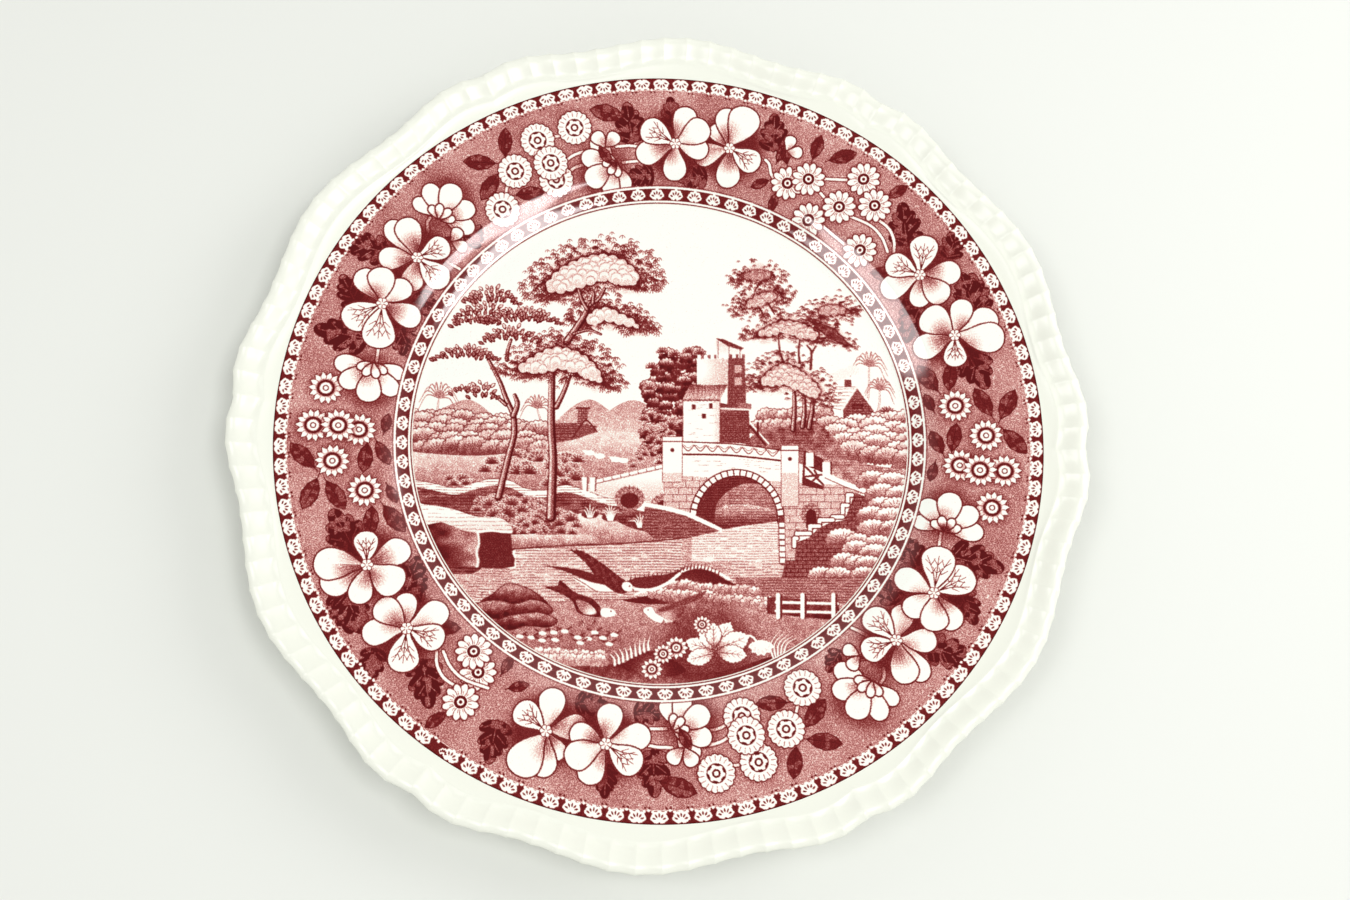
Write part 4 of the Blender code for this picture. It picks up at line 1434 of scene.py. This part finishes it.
def print_material(name):
    """Crimson ink under the glaze: fine dots where the ink is thin, solid where it is thick."""
    material, shader = principled(name, GLAZE_COLOUR, 0.08)
    shader.inputs["IOR"].default_value = 1.6
    nodes, links = material.node_tree.nodes, material.node_tree.links
    ink = nodes.new("ShaderNodeAttribute")
    ink.attribute_name = "ink"
    place_on_plate = nodes.new("ShaderNodeTexCoord")
    dots = nodes.new("ShaderNodeTexVoronoi")
    dots.inputs["Scale"].default_value = 2900.0
    links.new(place_on_plate.outputs["Object"], dots.inputs["Vector"])

    def maths(operation, first, second, clamp=False):
        node = nodes.new("ShaderNodeMath")
        node.operation = operation
        node.use_clamp = clamp
        for socket, value in zip(node.inputs, (first, second)):
            if isinstance(value, float):
                socket.default_value = value
            else:
                links.new(value, socket)
        return node.outputs[0]

    centred = maths("SUBTRACT", 0.42, dots.outputs["Distance"])
    room = maths("MULTIPLY", ink.outputs["Fac"], maths("SUBTRACT", 1.0, ink.outputs["Fac"], True))
    grain = maths("MULTIPLY", maths("MULTIPLY", centred, room), 3.2)
    density = maths("ADD", ink.outputs["Fac"], grain, True)
    ramp = nodes.new("ShaderNodeValToRGB")
    ramp.color_ramp.elements.remove(ramp.color_ramp.elements[1])
    stops = (
        (0.0, GLAZE_COLOUR),
        (0.12, (0.82, 0.62, 0.55)),
        (0.25, (0.71, 0.42, 0.38)),
        (0.38, (0.59, 0.27, 0.25)),
        (0.5, (0.46, 0.17, 0.155)),
        (0.62, (0.335, 0.09, 0.085)),
        (0.75, (0.235, 0.037, 0.035)),
        (0.88, (0.16, 0.010, 0.011)),
        (1.0, (0.085, 0.003, 0.004)),
    )
    for i, (position, colour) in enumerate(stops):
        stop = ramp.color_ramp.elements[0] if i == 0 else ramp.color_ramp.elements.new(position)
        stop.position = position
        stop.color = (*colour, 1)
    links.new(density, ramp.inputs["Fac"])
    links.new(ramp.outputs["Color"], shader.inputs["Base Color"])
    return material


# ---- the plate ----


def build_plate():
    draw_prints()
    body = plate_body()
    body.data.materials.append(glaze_material())
    picture_ink = print_material("stippled_crimson_picture")
    border_ink = print_material("stippled_crimson_border")
    bead_ink = print_material("crimson_beads")
    pieces = (
        (body, "earthenware_body", "white_glaze"),
        (disc_print("center_picture", PICTURE_RADIUS, picture_ink), "center_picture_transfer",
         "stippled_print"),
        (ring_print("inner_beads", *BEAD_RING, bead_ink), "inner_bead_transfer", "crimson_print"),
        (ring_print("flower_border", *BORDER_RING, border_ink), "flower_border_transfer", "stippled_print"),
        (ring_print("outer_beads", *EDGE_RING, bead_ink), "outer_bead_transfer", "crimson_print"),
    )
    for piece, node, slot in pieces:
        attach(piece, "root")
        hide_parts(node)


# ---- the setting ----


def add_floor():
    mesh = bpy.data.meshes.new("table_top")
    mesh.from_pydata([(-4, -4, 0), (4, -4, 0), (4, 4, 0), (-4, 4, 0)], [], [(0, 1, 2, 3)])
    floor = bpy.data.objects.new("table_top", mesh)
    bpy.context.scene.collection.objects.link(floor)
    material, _ = principled("pale_card", (0.77, 0.785, 0.745), 0.9)
    mesh.materials.append(material)
    floor.location.z = -0.0002


def add_softbox(name, at, aim, size, watts):
    light = bpy.data.lights.new(name, "AREA")
    light.shape = "RECTANGLE"
    light.size, light.size_y = size
    light.energy = watts
    obj = bpy.data.objects.new(name, light)
    bpy.context.scene.collection.objects.link(obj)
    obj.location = at
    obj.rotation_euler = (Vector(aim) - Vector(at)).to_track_quat("-Z", "Y").to_euler()


def add_lights():
    """A white room with a darker ceiling, two small softboxes overhead and a window on the right."""
    world = bpy.data.worlds.new("white_room")
    world.use_nodes = True
    nodes, links = world.node_tree.nodes, world.node_tree.links
    background = nodes["Background"]
    background.inputs["Color"].default_value = (1.0, 1.0, 0.975, 1)
    direction = nodes.new("ShaderNodeTexCoord")
    split = nodes.new("ShaderNodeSeparateXYZ")
    strength = nodes.new("ShaderNodeMapRange")
    for name, value in (("From Min", 0.7), ("From Max", 0.85), ("To Min", WALL_STRENGTH),
                        ("To Max", CEILING_STRENGTH)):
        strength.inputs[name].default_value = value
    links.new(direction.outputs["Generated"], split.inputs["Vector"])
    links.new(split.outputs["Z"], strength.inputs["Value"])
    links.new(strength.outputs["Result"], background.inputs["Strength"])
    bpy.context.scene.world = world
    add_softbox("softbox_right", (0.40, -0.14, 1.15), (0, 0, 0), (0.45, 0.3), 5.0)
    add_softbox("softbox_left", (-0.50, -0.06, 1.1), (0, 0, 0), (0.45, 0.4), 3.7)
    add_softbox("window_right", (0.75, 0.2, 0.55), (0, 0, 0), (0.5, 0.5), 2.5)


def add_camera():
    """Almost overhead, a little towards the near side, with the picture upright."""
    elevation, azimuth, distance = math.radians(75), math.radians(-6.3), 0.4142
    flat = distance * math.cos(elevation)
    eye = Vector((flat * math.sin(azimuth), -flat * math.cos(azimuth),
                  distance * math.sin(elevation) + 0.012))
    target = Vector((0.0041, -0.0063, 0.012))
    forward = (target - eye).normalized()
    right = forward.cross(Vector((0, 1, 0))).normalized()
    up = right.cross(forward)
    data = bpy.data.cameras.new("camera")
    data.lens = 35.0
    data.sensor_width = 36.0
    camera = bpy.data.objects.new("camera", data)
    bpy.context.scene.collection.objects.link(camera)
    turned = Matrix((right, up, -forward)).transposed()
    camera.matrix_world = Matrix.Translation(eye) @ turned.to_4x4()
    bpy.context.scene.camera = camera
    bpy.context.scene.view_settings.view_transform = "Standard"


def main():
    build_plate()
    add_floor()
    add_lights()
    add_camera()


main()
